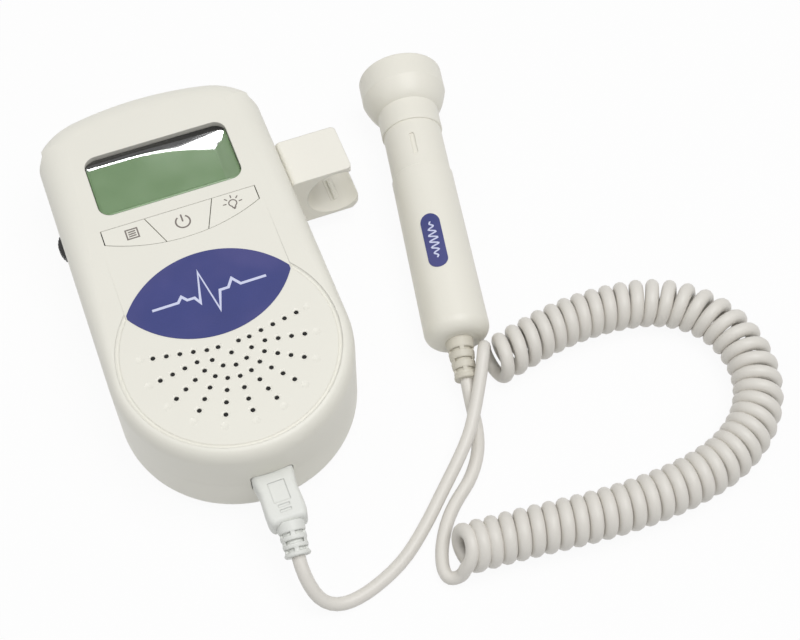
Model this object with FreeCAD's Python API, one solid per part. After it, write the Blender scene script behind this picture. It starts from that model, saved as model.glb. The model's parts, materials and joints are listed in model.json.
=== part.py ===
import FreeCAD, Part
import math
import os

# Pocket fetal doppler monitor. Millimetres, +Z up. The origin lies on the rest plane, under the
# centre of the loudspeaker. +Y runs towards the display, +X towards the clip that holds the probe.

Vec = FreeCAD.Vector
X_AXIS = Vec(1, 0, 0)
Y_AXIS = Vec(0, 1, 0)
Z_AXIS = Vec(0, 0, 1)
DIAGONAL = math.sqrt(0.5)
BEYOND = 1.0               # what a cut passes beyond the face it opens
OVERLAP = 0.5              # what a joined piece reaches into its neighbour
FAR = 60.0                 # past the main unit in any direction across it

# ---- case ----
half_width = 36.3          # half width, and radius of the round speaker end
display_end_y = 100.2      # furthest point of the display end
display_end_r = 104.0      # radius of the display end's arc, seen from above
display_side_r = 22.0      # the arcs that round the display end off to its sides
display_side_x = 22.0      # where those arcs leave the end's own arc
case_height = 35.0
split_z = 17.5             # parting line of the two shells
wall = 2.0
step_start_y = 84.6        # the sides step in between here
step_end_y = 87.4          # and here
step_depth = 2.4
step_round_r = 1.6
side_draft = 0.5           # what the sides close in between the step and the display end
low_edge_r = 5.5           # rounding along the lower edge
speaker_crown = (3.3, 5.6)     # width and depth of the upper edge's rounding at the speaker end
display_crown = (12.0, 9.0)    # the same at the display end's sides
end_crown = (8.0, 6.5)         # the same across the display end
crown_run_out = 8.0        # the sides' crown would reach its display size this far past the end
lip_height = 1.1
lip_thickness = 0.9
lip_gap = 0.1

# ---- face ----
window_width = 45.6
window_low_y = 56.0
window_high_y = 79.2
window_corner_r = 4.0
lens_gap = 0.15
lens_flange = 1.0
lens_flange_thickness = 0.6
lens_edge_round = 1.6
lens_sink = 0.1            # how far the lens lies below the face
key_field_half = 24.5
key_field_top_y = 51.3
key_field_side_y = 46.0
key_field_low_y = 40.4
key_divider_top_x = 10.7
key_divider_low_x = 6.6
key_divider_low_y = 41.0
key_side_gap = 0.3
key_edge_gap = 0.12
key_travel = 0.5
key_sink = 0.05
key_switch_gap = 0.1         # left between a pressed key and its switch
key_flange = 0.9
key_flange_thickness = 0.9
key_flange_gap = 0.12
key_centre_x = 16.0
key_centre_y = 47.6
power_centre_y = 46.4
key_stem_r = 1.9
panel_half = 25.5          # half width of the sunk panel between the keys and the speaker
panel_end_y = 46.6         # the panel rises to the face here
speaker_rim_r = 32.9
panel_depth = 0.6          # depth of the sunk panel at the lowest point of the speaker rim
rim_groove_width = 1.2
rim_groove_depth = 0.35    # below the sunk panel, round the speaker rim
rim_groove_land = 0.15     # flat between the groove and the rim
label_half = 25.1
label_mid_y = 19.4
label_top_y = 33.7
label_low_y = 4.4
label_thickness = 0.15
label_tip_trim = 0.4       # what is cut off the leaf's two tips

# ---- loudspeaker ----
hole_r = 0.7
hole_dish_r = 1.3
hole_dish_depth = 0.2
hole_ray_angle = 20.0
hole_rays_each_side = 5
hole_rows = (10.4, 14.3, 18.2, 22.1)
dimple_row_r = 25.7
dimple_r = 1.2
dimple_depth = 0.2
ring_row_r = 6.5
ring_row_angle = 33.0
ring_holes_each_side = 3
core_hole_y = -2.2
core_pair_r = 3.2
core_pair_angle = 105.0
speaker_r = 25.0
speaker_flange = 1.4
speaker_basket_r = 22.6
speaker_basket_depth = 6.0
speaker_shell = 0.8
magnet_r = 14.0
magnet_bay_gap = 0.7         # between the magnet and the battery bay under it
cloth_thickness = 0.3
cloth_margin = 0.4
speaker_gap = 0.3
speaker_ring_thickness = 1.5
speaker_ring_depth = 3.0
cone_rim_sink = 0.4
cone_rim_width = 2.0
cone_paper = 0.4
cone_depth = 3.2
cone_coil_r = 7.0
cone_coil_length = 2.0
cone_dome = 1.4

# ---- electronics ----
board_drop = 11.0          # from the top of the case to the board's underside
board_thickness = 1.6
board_half = 31.0
board_low_y = 27.6
board_high_y = 92.0
board_corner_r = 2.0
board_side_gap = 0.3
board_post_gap = 0.4
board_boss_r = 2.4
board_boss_y = (32.0, 87.6)
board_boss_x = (28.0, 20.0)
switch_size = 6.0
switch_body_height = 3.5
switch_plunger_r = 1.7
switch_plunger_height = 0.5
lcd_width = 50.0
lcd_low_y = 54.3
lcd_length = 26.0
lcd_thickness = 2.8
backlight_thickness = 3.9
frame_wall = 1.2
frame_gap = 0.2
chip_height = 1.2
chip_places = ((-8, 66), (10, 70), (8, 54), (-6, 50), (20, 62))
chip_sizes = ((12, 12), (7, 9), (5, 6), (4, 6), (5, 4))
jack_x = 0.0
jack_width = 9.0
jack_length = 12.0
jack_nose_r = 3.0
jack_nose_wall_gap = 0.15
jack_nose_sink = 0.3
jack_body_gap = 1.6
jack_board_gap = 0.2
jack_bore_r = 1.8
jack_bore_length = 13.0

# ---- volume wheel ----
wheel_inset = 6.0          # from the case's side to the wheel's axis
wheel_y = 58.2
wheel_r = 7.5
wheel_thickness = 2.2
wheel_board_drop = 2.0     # from the board's underside to the wheel's middle
wheel_gap = 0.35
wheel_grooves = 40
wheel_groove_r = 0.22
wheel_shaft_r = 1.5
wheel_shaft_length = 2.2
shaft_gap = 0.05
pot_height = 2.8
pot_half = 5.0
pot_leg = 1.5
pot_shift = 1.6            # what the pot's outer side is cut back
pot_floor = 0.4

# ---- batteries ----
cell_r = 7.25
cell_length = 49.2
cell_nub_r = 2.75
cell_nub = 1.3
cell_gap = 0.5
bay_low_y = -13.5
bay_high_y = 42.5
bay_wall = 1.5
bay_ceiling = 1.2
bay_gap = 0.3
door_half = 15.5
door_rest_gap = 0.3
door_gap = 0.3
door_flange = 1.3
door_flange_thickness = 0.8
door_flange_end_y = 38.0
door_rib = 1.2
door_travel = 12.0
door_stop_gap = 1.5
door_grip_count = 6
door_grip_start = 4.0
door_grip_width = 16.0
door_grip_pitch = 2.2
door_grip_r = 0.5
tunnel_thickness = 1.5
contact_thickness = 0.4
contact_half = 4.5
contact_foot = 2.0
contact_cell_gap = 0.05

# ---- fasteners ----
case_post_r = 3.0
case_post_gap = 0.2
case_screw_display = (28.4, 86.4)
case_screw_speaker = (24.7, -17.3)
case_screw_r = 1.2
case_screw_head_r = 2.3
case_screw_head = 1.6
case_screw_recess = 6.0
case_screw_end_drop = 8.0  # from the top of the case to the screws' ends
board_screw_r = 0.9
board_screw_head_r = 1.8
board_screw_head = 1.1
board_screw_end_drop = 4.5
screw_gap = 0.1
screw_head_gap = 0.2
screw_end_gap = 0.8
screw_drive_half = 0.35
screw_drive_r = 0.7         # the drive's reach as a share of the head's radius

# ---- probe clip ----
clip_low_y = 51.5
clip_length = 17.3
clip_axis_out = 14.4         # the bore's axis, out from the case's side
clip_axis_z = 17.8
clip_bore_r = 9.8
clip_jaw_wall = 1.1
clip_top_end_out = 19.9
clip_low_end_out = 22.0
clip_low_corner = 2.6
clip_side_gap = 0.1
clip_rib_shift = 0.5         # a rib flush with the bore, between two shallow grooves
clip_rib_width = 0.9
clip_groove_width = 1.0
clip_groove_depth = 0.45
clip_rib_y = (55.7, 63.7)
clip_edge_r = 1.6
clip_tongue_y = (55.5, 64.8)
clip_tongue_z = (13.0, 22.6)
clip_head_grow = 1.5
clip_head_thickness = 1.2
clip_slot_gap = 0.1

# ---- probe ----
probe_face_point = Vec(87.14, 90.78, 14.34)
probe_direction = Vec(-0.1812, -0.9825, -0.0414)     # from the acoustic face towards the cord
probe_cup_r = 14.0
probe_cup_length = 8.5
probe_cup_edge_r = 1.0
probe_bowl_end = 15.6
probe_bowl_leave = (0.7, 1.9)  # in and back along the bowl's curve where it leaves the cup
probe_bowl_join = (2.2, 1.4)   # out and forward along it where it comes to the neck
probe_bowl_wall = 1.0      # what the cup's wall is thicker behind its window
bowl_inside_leave = (0.3, 3.1)
bowl_inside_join = (1.3, 0.7)
bowl_inside_early = 1.0    # the bowl's inside comes to the neck this far ahead
probe_neck_edge_r = 0.45
probe_grip_edge_r = 0.3
probe_neck_r = 10.1
probe_neck_end = 23.9
probe_collar_r = 9.6
probe_collar_end = 41.5
probe_slot = (29.2, 37.5)
probe_slot_width = 1.5
probe_slot_depth = 0.5
probe_slot_angle = 9.0          # from the top towards the main unit
probe_grip_start_r = 10.0
probe_grip_end_r = 10.3
probe_length = 102.2
probe_end_round = 4.4
probe_cord_hole_r = 3.2
probe_wall = 1.8
probe_face_r = 12.6
probe_face_thickness = 1.2
probe_face_gap = 0.1
crystal_r = 11.0
crystal_thickness = 0.7
crystal_slit = 0.6
backing_thickness = 6.0
backing_margin = 0.4
seal_bed_r = 7.7
seal_bed = (2.2, 0.6)       # the seal's groove, measured back from the neck's end
seal_end_gap = 0.1
spigot_in_head = 3.5
spigot_in_handle = 5.0
probe_board_length = 48.0
probe_board_thickness = 1.2
probe_board_gap = 0.6
probe_chip_half = 3.0
probe_chip_height = 1.4
probe_chip_at = (18.0, 26.0)
probe_spigot_gap = 0.15
pill_start = 61.0
pill_end = 80.5
pill_half = 3.1
pill_angle = 12.0
pill_thickness = 0.15
pill_margin = 2.0

# ---- plug and cord ----
cord_d = 4.0
plug_axis_z = 17.1
plug_front_y = -34.5
plug_rear_y = -51.8
plug_half = 6.2
plug_parallel_end_y = -36.8
plug_waist_half = 5.6
plug_waist_y = -41.0
plug_bulge_half = 5.85
plug_bulge_y = (-45.8, -48.2)
plug_tail_half = 4.2
plug_shoulder = (1.2, 1.6)   # how the shoulder's curve leaves the tail and the bulge
plug_height = 8.4
plug_edge_r = 1.7
plug_wall_gap = 0.2
plug_panel_half = 2.45
plug_panel_y = (-45.6, -39.2)
plug_panel_depth = 0.3
plug_bar_half = 1.7
plug_bar_y = (-47.3, -48.9)
plug_bar_width = 0.8
plug_bar_depth = 0.25
plug_shell_half = 3.9
plug_shell_height = 4.6
plug_shell_length = 6.5
plug_shell_wall = 0.5
plug_shell_back = 0.8
plug_tongue_half = 0.6
plug_tongue_side_gap = 1.0
socket_wall = 1.2
socket_length = 9.0
socket_gap = 0.12
socket_case_gap = 0.6
socket_depth_gap = 0.6
socket_board_half = 9.0
socket_board_thickness = 1.2
socket_board_bay_gap = 0.7
socket_board_case_gap = 1.6
stand_half = 1.0
stand_x = 6.0
stand_y = (-30.0, -19.0)
relief_start_r = 4.1
relief_end_r = 3.5
relief_collar_length = 1.6
relief_slot_width = 1.0
relief_slot_depth = 0.9
relief_rows = (0.23, 0.49, 0.74)   # where the slots start, as shares of the sleeve's length
relief_long_row = 1
relief_long_half = 2.6
relief_bridge_half = 0.7
relief_keel = 0.9
relief_lip = 0.35
relief_collar_round = 0.6
relief_waist_depth = 0.25   # the sleeve is waisted at each row of slots
relief_waist_r = 1.4
relief_slot_taper = 0.08
probe_relief_start_r = 4.4
probe_relief_end_r = 3.2
relief_root = 1.0          # what a relief reaches into its housing
unit_relief_end = Vec(-0.75, -60.4, 14.6)
unit_exit_run = 4.4        # straight run of the cord out of the plug's relief
probe_relief_end = Vec(66.1, -21.9, 8.3)
probe_exit_run = 3.4

unit_tail_route = [
    Vec(0.6, -71.0, 7.4),
    Vec(4.6, -73.6, 3.6),
    Vec(10.6, -73.9, 2.0),
    Vec(19.0, -71.8, 2.0),
    Vec(28.8, -67.3, 2.0),
    Vec(38.0, -59.8, 2.2),
    Vec(46.4, -51.8, 3.2),
    Vec(54.0, -45.2, 6.0),
    Vec(61.2, -37.4, 7.8),
    Vec(66.6, -30.6, 8.8),
    Vec(70.6, -23.6, 11.4),
    Vec(73.8, -18.4, 12.7),
    Vec(76.4, -15.4, 12.3),
]
probe_tail_route = [
    Vec(65.0, -30.0, 4.0),
    Vec(64.2, -36.4, 2.0),
    Vec(61.4, -43.6, 2.0),
    Vec(56.0, -50.6, 2.0),
    Vec(48.8, -55.9, 2.0),
    Vec(43.4, -61.8, 2.0),
    Vec(39.4, -69.0, 2.0),
    Vec(38.4, -75.0, 2.4),
    Vec(41.0, -78.8, 4.6),
    Vec(46.6, -77.8, 8.6),
]
coil_outer_r = 7.35
coil_points = [
    Vec(75.8, -19.4, 7.35),
    Vec(88.6, -16.0, 7.35),
    Vec(102.0, -13.6, 7.35),
    Vec(116.0, -13.6, 7.35),
    Vec(129.4, -15.8, 7.35),
    Vec(140.6, -21.4, 7.35),
    Vec(148.4, -31.2, 7.35),
    Vec(151.2, -43.6, 7.35),
    Vec(148.8, -56.0, 7.35),
    Vec(141.4, -66.4, 7.35),
    Vec(129.6, -73.6, 7.35),
    Vec(115.6, -76.8, 7.35),
    Vec(101.0, -77.7, 7.35),
    Vec(86.4, -77.1, 7.35),
    Vec(72.0, -75.6, 7.35),
    Vec(58.6, -74.0, 7.35),
    Vec(45.8, -72.4, 7.35),
]


# ---- helpers ----
def box(x0, x1, y0, y1, z0, z1):
    return Part.makeBox(x1 - x0, y1 - y0, z1 - z0, Vec(x0, y0, z0))


def cylinder(x, y, z0, z1, r):
    return Part.makeCylinder(r, z1 - z0, Vec(x, y, z0), Z_AXIS)


def joined(shapes):
    return shapes[0].multiFuse(shapes[1:]).removeSplitter()


def polygon(points):
    return Part.makePolygon(list(points) + [points[0]])


def prism(wire, direction):
    return Part.Face(wire).extrude(direction)


def mirrored_x(shape):
    return shape.mirror(Vec(0, 0, 0), X_AXIS)


def save(name, *shapes):
    """Writes one sub-part, as its single solid or as a group of solids."""
    solids = [solid for shape in shapes for solid in shape.Solids]
    whole = solids[0] if len(solids) == 1 else Part.makeCompound(solids)
    whole.exportStep("parts/" + name + ".step")
    print(name, len(solids), "solids", round(sum(s.Volume for s in solids), 1), "mm3", whole.isValid())


def rounded_line(points):
    """Straight runs between the points, joined by tangent arcs as large as the runs allow."""
    edges = []
    radii = []
    start = points[0]
    for before, corner, after in zip(points, points[1:], points[2:]):
        back = (before - corner)
        ahead = (after - corner)
        turn = math.pi - back.getAngle(ahead)
        reach = 0.45 * min(back.Length, ahead.Length)
        radii.append(reach / math.tan(turn / 2))
        first = corner + Vec(back).normalize() * reach
        last = corner + Vec(ahead).normalize() * reach
        inward = (Vec(back).normalize() + Vec(ahead).normalize()).normalize()
        to_centre = radii[-1] / math.cos(turn / 2)
        middle = corner + inward * (to_centre - radii[-1])
        edges.append(Part.LineSegment(start, first).toShape())
        edges.append(Part.Arc(first, middle, last).toShape())
        start = last
    edges.append(Part.LineSegment(start, points[-1]).toShape())
    return Part.Wire(edges), radii


def tube(name, points, r):
    """A round tube along the rounded line, with its length, tightest radii and volume printed."""
    path, radii = rounded_line(points)
    first_run = points[1] - points[0]
    ring = Part.Wire(Part.Circle(points[0], first_run, r).toShape())
    solid = path.makePipeShell([ring], True, False)
    expected = math.pi * r * r * path.Length
    print(name, "length", round(path.Length, 1), "radii", [round(v, 1) for v in radii],
          "volume ratio", round(solid.Volume / expected, 4))
    return solid


# ---- case ----
def edge_profile(half, top, low, crown):
    """Right half of the case's cross-section in XZ: round below, elliptical crown above."""
    width, depth = crown
    low_r = low_edge_r - low
    right = half
    centre = Vec(right - width, 0, top - depth)
    if width > depth:
        arc = Part.Ellipse(centre + X_AXIS * width, centre + Z_AXIS * depth, centre)
    else:
        arc = Part.Ellipse(centre + Z_AXIS * depth, centre + X_AXIS * width, centre)
    crown_top = centre + Z_AXIS * depth
    crown_side = centre + X_AXIS * width
    middle = centre + X_AXIS * (width * DIAGONAL) + Z_AXIS * (depth * DIAGONAL)
    u_values = sorted(arc.parameter(p) for p in (crown_top, crown_side, middle))
    spread = u_values[2] - u_values[0]
    if spread > math.pi:
        u_values = sorted((u + math.pi) % (2 * math.pi) - math.pi for u in u_values)
    crown_edge = arc.toShape(u_values[0], u_values[2])
    low_start = Vec(right, 0, low + low_r)
    low_end = Vec(right - low_r, 0, low)
    low_middle = Vec(right - low_r * (1 - DIAGONAL), 0, low + low_r * (1 - DIAGONAL))
    return [
        Part.LineSegment(Vec(0, 0, low), low_end).toShape(),
        Part.Arc(low_end, low_middle, low_start).toShape(),
        Part.LineSegment(low_start, crown_side).toShape(),
        crown_edge,
        Part.LineSegment(crown_top, Vec(0, 0, top)).toShape(),
    ]


def half_section(half, inset, crown):
    edges = edge_profile(half, case_height - inset, inset, crown)
    edges.append(Part.LineSegment(Vec(0, 0, case_height - inset), Vec(0, 0, inset)).toShape())
    return Part.Wire(Part.__sortEdges__(edges))


def full_section(half, inset, crown, y):
    right = edge_profile(half, case_height - inset, inset, crown)
    left = [mirrored_x(edge) for edge in right]
    wire = Part.Wire(Part.__sortEdges__(right + left))
    wire.translate(Vec(0, y, 0))
    return wire


def plan_outline(inset):
    """The case's two stepped sides seen from above, drawn in by inset, as an upright solid."""
    half = half_width - inset
    neck = half - step_depth
    low = -half_width - BEYOND
    high = display_end_y + BEYOND
    right = [Vec(half, step_start_y, 0), Vec(neck, step_end_y, 0), Vec(neck - side_draft, high, 0)]
    left = [Vec(-p.x, p.y, 0) for p in reversed(right)]
    edges = [
        Part.LineSegment(Vec(-half, low, 0), Vec(half, low, 0)).toShape(),
        Part.LineSegment(Vec(half, low, 0), right[0]).toShape(),
        Part.LineSegment(right[0], right[1]).toShape(),
        Part.LineSegment(right[1], right[2]).toShape(),
        Part.LineSegment(right[2], left[0]).toShape(),
        Part.LineSegment(left[0], left[1]).toShape(),
        Part.LineSegment(left[1], left[2]).toShape(),
        Part.LineSegment(left[2], Vec(-half, low, 0)).toShape(),
    ]
    solid = Part.Face(Part.Wire(edges)).extrude(Vec(0, 0, case_height))

    def uprights(y):
        return [e for e in solid.Edges
                if abs(e.Vertexes[0].Y - y) < 0.01 and abs(e.Vertexes[-1].Y - y) < 0.01
                and abs(e.Vertexes[0].X - e.Vertexes[-1].X) < 0.01]

    solid = solid.makeFillet(step_round_r, uprights(step_start_y))
    return solid.makeFillet(step_round_r, uprights(step_end_y))


def crowned_disc(r, inset, place):
    disc = Part.Face(half_section(r - inset, inset, end_crown)).revolve(Vec(0, 0, 0), Z_AXIS, 360)
    disc.translate(place)
    return disc


def end_form(inset):
    """Round slab that ends the case: one wide disc, and at each corner a sector of a smaller one.

    The discs touch where the smaller one takes over, so that their crowns run into each other.
    """
    centre = Vec(0, display_end_y - display_end_r, 0)
    outward = Vec(display_side_x, math.sqrt(display_end_r ** 2 - display_side_x ** 2), 0).normalize()
    side_centre = centre + outward * (display_end_r - display_side_r)
    sector = prism(polygon([
        side_centre,
        side_centre + outward * FAR,
        side_centre + outward * FAR + X_AXIS * FAR,
        side_centre + X_AXIS * FAR,
    ]), Z_AXIS * case_height)
    corner = crowned_disc(display_side_r, inset, side_centre).common(sector)
    middle = crowned_disc(display_end_r, inset, centre).cut([sector, mirrored_x(sector)])
    return middle.multiFuse([corner, mirrored_x(corner)])


def case_form(inset):
    """The case's outer form, drawn in by inset on every side."""
    half = half_width - inset
    far_y = display_end_y + crown_run_out
    round_end = Part.Face(half_section(half, inset, speaker_crown))
    round_end = round_end.revolve(Vec(0, 0, 0), Z_AXIS, -180)
    near = full_section(half, inset, speaker_crown, 0)
    far = full_section(half, inset, display_crown, far_y)
    body = Part.makeLoft([near, far], True, True)
    form = round_end.fuse(body)
    return form.common(plan_outline(inset)).common(end_form(inset)).removeSplitter()


form_outer = case_form(0)
form_inner = case_form(wall)
face_low_z = case_height - wall


def above(z):
    return box(-2 * FAR, 2 * FAR, -2 * FAR, 2 * FAR, z, FAR)


def below(z):
    return box(-2 * FAR, 2 * FAR, -2 * FAR, 2 * FAR, -FAR, z)


def panel_z(y):
    """Height of the sunk panel's floor, a plane that leans towards the speaker end."""
    return case_height - panel_depth * (panel_end_y - y) / (panel_end_y + speaker_rim_r)


def panel_slab(low, high):
    """Everything between two planes parallel to the panel, low and high above it."""
    near_y = -half_width
    return prism(polygon([
        Vec(-FAR, near_y, panel_z(near_y) + low),
        Vec(-FAR, panel_end_y, panel_z(panel_end_y) + low),
        Vec(-FAR, panel_end_y, panel_z(panel_end_y) + high),
        Vec(-FAR, near_y, panel_z(near_y) + high),
    ]), Vec(2 * FAR, 0, 0))


def keyhole():
    """Upright solid of the sunk panel's outline: the speaker's disc and the strip to the keys."""
    high = case_height + BEYOND
    disc = cylinder(0, 0, split_z, high, speaker_rim_r)
    strip = box(-panel_half, panel_half, 0, panel_end_y, split_z, high)
    return disc.fuse(strip)


def three_point_arc(half, side_y, mid_y):
    return Part.Arc(Vec(half, side_y, 0), Vec(0, mid_y, 0), Vec(-half, side_y, 0)).toShape()


def key_field(side, edge, z0, z1):
    """The keys' shared field, drawn in by side at its ends and by edge at its long sides."""
    half = key_field_half - side
    top = key_field_top_y - edge
    low = key_field_side_y + edge
    edges = [
        three_point_arc(half, low, key_field_low_y + edge),
        Part.LineSegment(Vec(-half, low, 0), Vec(-half, top, 0)).toShape(),
        Part.LineSegment(Vec(-half, top, 0), Vec(half, top, 0)).toShape(),
        Part.LineSegment(Vec(half, top, 0), Vec(half, low, 0)).toShape(),
    ]
    solid = Part.Face(Part.Wire(edges)).extrude(Vec(0, 0, z1 - z0))
    solid.translate(Vec(0, 0, z0))
    return solid


def divider_x(y):
    slope = (key_divider_top_x - key_divider_low_x) / (key_field_top_y - key_divider_low_y)
    return key_divider_low_x + slope * (y - key_divider_low_y)


def divider_region(inner_shift):
    """Upright solid right of the right-hand divider, shifted outwards by inner_shift."""
    y0 = key_field_low_y - 2 * key_flange
    y1 = key_field_top_y + 2 * key_flange
    return prism(polygon([
        Vec(divider_x(y0) + inner_shift, y0, split_z),
        Vec(divider_x(y1) + inner_shift, y1, split_z),
        Vec(FAR, y1, split_z),
        Vec(FAR, y0, split_z),
    ]), Vec(0, 0, case_height))


def window(gap, z0, z1):
    """The display window's opening, drawn in by gap."""
    half = window_width / 2 - gap
    solid = box(-half, half, window_low_y + gap, window_high_y - gap, z0, z1)
    uprights = [e for e in solid.Edges if abs(e.Vertexes[0].Z - e.Vertexes[-1].Z) > 0.1]
    return solid.makeFillet(window_corner_r - gap, uprights)


def speaker_hole_places():
    """Centres of the through holes: rays, one ring and the three in the middle."""
    places = []
    for ray in range(-hole_rays_each_side, hole_rays_each_side + 1):
        angle = math.radians(-90 + ray * hole_ray_angle)
        places += [Vec(r * math.cos(angle), r * math.sin(angle), 0) for r in hole_rows]
    for step in range(-ring_holes_each_side, ring_holes_each_side + 1):
        angle = math.radians(-90 + step * ring_row_angle)
        places.append(Vec(ring_row_r * math.cos(angle), ring_row_r * math.sin(angle), 0))
    for side in (-1, 1):
        angle = math.radians(-90 + side * core_pair_angle)
        places.append(Vec(core_pair_r * math.cos(angle), core_pair_r * math.sin(angle), 0))
    places.append(Vec(0, core_hole_y, 0))
    return places


def dish(place, r, depth):
    """Ball that leaves a shallow dish of that radius and depth in the sunk panel."""
    ball_r = (r ** 2 + depth ** 2) / (2 * depth)
    return Part.makeSphere(ball_r, Vec(place.x, place.y, panel_z(place.y) - depth + ball_r))


def speaker_dimples():
    angles = [math.radians(-90 + ray * hole_ray_angle)
              for ray in range(-hole_rays_each_side, hole_rays_each_side + 1)]
    blind = [Vec(dimple_row_r * math.cos(a), dimple_row_r * math.sin(a), 0) for a in angles]
    return ([dish(place, dimple_r, dimple_depth) for place in blind]
            + [dish(place, hole_dish_r, hole_dish_depth) for place in speaker_hole_places()])


def rim_groove():
    """Round-bottomed groove at the foot of the speaker's rim, open where the panel runs on to the keys."""
    half = rim_groove_width / 2
    groove_r = (half ** 2 + rim_groove_depth ** 2) / (2 * rim_groove_depth)
    ring = Part.makeTorus(speaker_rim_r - rim_groove_land - half, groove_r)
    ring.rotate(Vec(0, 0, 0), X_AXIS, math.degrees(math.atan2(panel_depth, panel_end_y + speaker_rim_r)))
    ring.translate(Vec(0, 0, panel_z(0) - rim_groove_depth + groove_r))
    return ring.cut(box(-panel_half, panel_half, 0, FAR, split_z, FAR))


def both_sides(places):
    return [(side * x, y) for x, y in places for side in (-1, 1)]


case_screws_at = both_sides([case_screw_display, case_screw_speaker])
board_screws_at = both_sides(list(zip(board_boss_x, board_boss_y)))
board_low_z = case_height - board_drop
board_high_z = board_low_z + board_thickness

# levels and places that follow from the ones above
wheel_x = wheel_inset - half_width
clip_axis_x = half_width + clip_axis_out
clip_top_end_x = half_width + clip_top_end_out
clip_low_end_x = half_width + clip_low_end_out
clip_rib_x = clip_axis_x + clip_rib_shift
wheel_mid_z = board_low_z - wheel_board_drop
case_screw_end_z = case_height - case_screw_end_drop
board_screw_end_z = case_height - board_screw_end_drop
bay_half = door_half + door_flange + bay_gap
door_flange_low_z = wall + door_gap
door_flange_high_z = door_flange_low_z + door_flange_thickness
cell_low_z = door_flange_high_z + cell_gap
cell_mid_z = cell_low_z + cell_r
bay_ceiling_z = cell_low_z + 2 * cell_r + bay_gap
socket_board_high_z = plug_axis_z - plug_shell_height / 2 - socket_wall
jack_mid_z = board_low_z - jack_nose_r - jack_board_gap
shell_inner_end_y = -(half_width - wall)


def wheel_slot():
    z0 = wheel_mid_z - wheel_thickness / 2 - wheel_gap
    z1 = wheel_mid_z + wheel_thickness / 2 + wheel_gap
    reach = math.sqrt(wheel_r ** 2 - (half_width - wall + wheel_x) ** 2) + wheel_gap
    return box(-half_width - BEYOND, wheel_x, wheel_y - reach, wheel_y + reach, z0, z1)


def clip_slot():
    y0, y1 = clip_tongue_y
    z0, z1 = clip_tongue_z
    gap = clip_slot_gap
    return box(half_width - wall - BEYOND, half_width + BEYOND, y0 - gap, y1 + gap, z0 - gap, z1 + gap)


def plug_opening():
    half = plug_half + plug_wall_gap
    tall = plug_height / 2 + plug_wall_gap
    opening = box(-half, half, -half_width - BEYOND, shell_inner_end_y + BEYOND,
                  plug_axis_z - tall, plug_axis_z + tall)
    rounded = [e for e in opening.Edges if abs(e.Vertexes[0].Y - e.Vertexes[-1].Y) > 0.1]
    return opening.makeFillet(plug_edge_r, rounded)


def jack_opening():
    length = display_end_y + BEYOND - board_high_y
    start = Vec(jack_x, board_high_y, jack_mid_z)
    return Part.makeCylinder(jack_nose_r + jack_nose_wall_gap, length, start, Y_AXIS)


def front_shell():
    inner_limit = case_form(wall / 2)
    additions = []
    for x, y in case_screws_at:
        additions.append(cylinder(x, y, split_z - BEYOND, case_height, case_post_r))
    for x, y in board_screws_at:
        additions.append(cylinder(x, y, board_high_z, case_height, board_boss_r))
    ring_r = speaker_r + speaker_gap
    ring = cylinder(0, 0, face_low_z - speaker_ring_depth, case_height, ring_r + speaker_ring_thickness)
    additions.append(ring.cut(cylinder(0, 0, 0, FAR, ring_r)))
    additions = [piece.common(inner_limit) for piece in additions]
    shell = joined([form_outer.cut(form_inner)] + additions).common(above(split_z))
    lip_room = case_form(wall - lip_thickness - lip_gap).common(below(split_z + lip_height + lip_gap))
    cuts = [
        lip_room,
        keyhole().common(panel_slab(0, wall)),
        rim_groove(),
        window(0, face_low_z - BEYOND, case_height + BEYOND),
        key_field(0, 0, face_low_z - BEYOND, case_height + BEYOND),
        wheel_slot(),
        clip_slot(),
        plug_opening(),
        jack_opening(),
    ]
    for x, y in case_screws_at:
        cuts.append(cylinder(x, y, 0, case_screw_end_z + screw_end_gap, case_screw_r + screw_gap))
    for x, y in board_screws_at:
        cuts.append(cylinder(x, y, 0, board_screw_end_z + screw_end_gap, board_screw_r + screw_gap))
    for place in speaker_hole_places():
        cuts.append(cylinder(place.x, place.y, face_low_z - BEYOND, case_height + BEYOND, hole_r))
    return shell.cut(cuts + speaker_dimples())


def battery_bay():
    """Walls, ceiling and the roof over the door's run-out, inside the rear shell."""
    outer_half = bay_half + bay_wall
    low_z = wall - OVERLAP
    outside = box(-outer_half, outer_half, bay_low_y - bay_wall, bay_high_y + bay_wall,
                   low_z, bay_ceiling_z + bay_ceiling)
    inside = box(-bay_half, bay_half, bay_low_y, bay_high_y, low_z - BEYOND, bay_ceiling_z)
    roof_z = wall + door_gap
    near_y = shell_inner_end_y - BEYOND
    roof = box(-outer_half, outer_half, near_y, bay_low_y - bay_wall, roof_z, roof_z + tunnel_thickness)
    sides = [box(x, x + bay_wall, near_y, bay_low_y - bay_wall, low_z, roof_z + OVERLAP)
             for x in (bay_half, -bay_half - bay_wall)]
    run_out = box(-bay_half, bay_half, near_y, bay_low_y + OVERLAP, low_z - BEYOND, roof_z)
    return joined([outside, roof] + sides).cut([inside, run_out])


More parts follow.
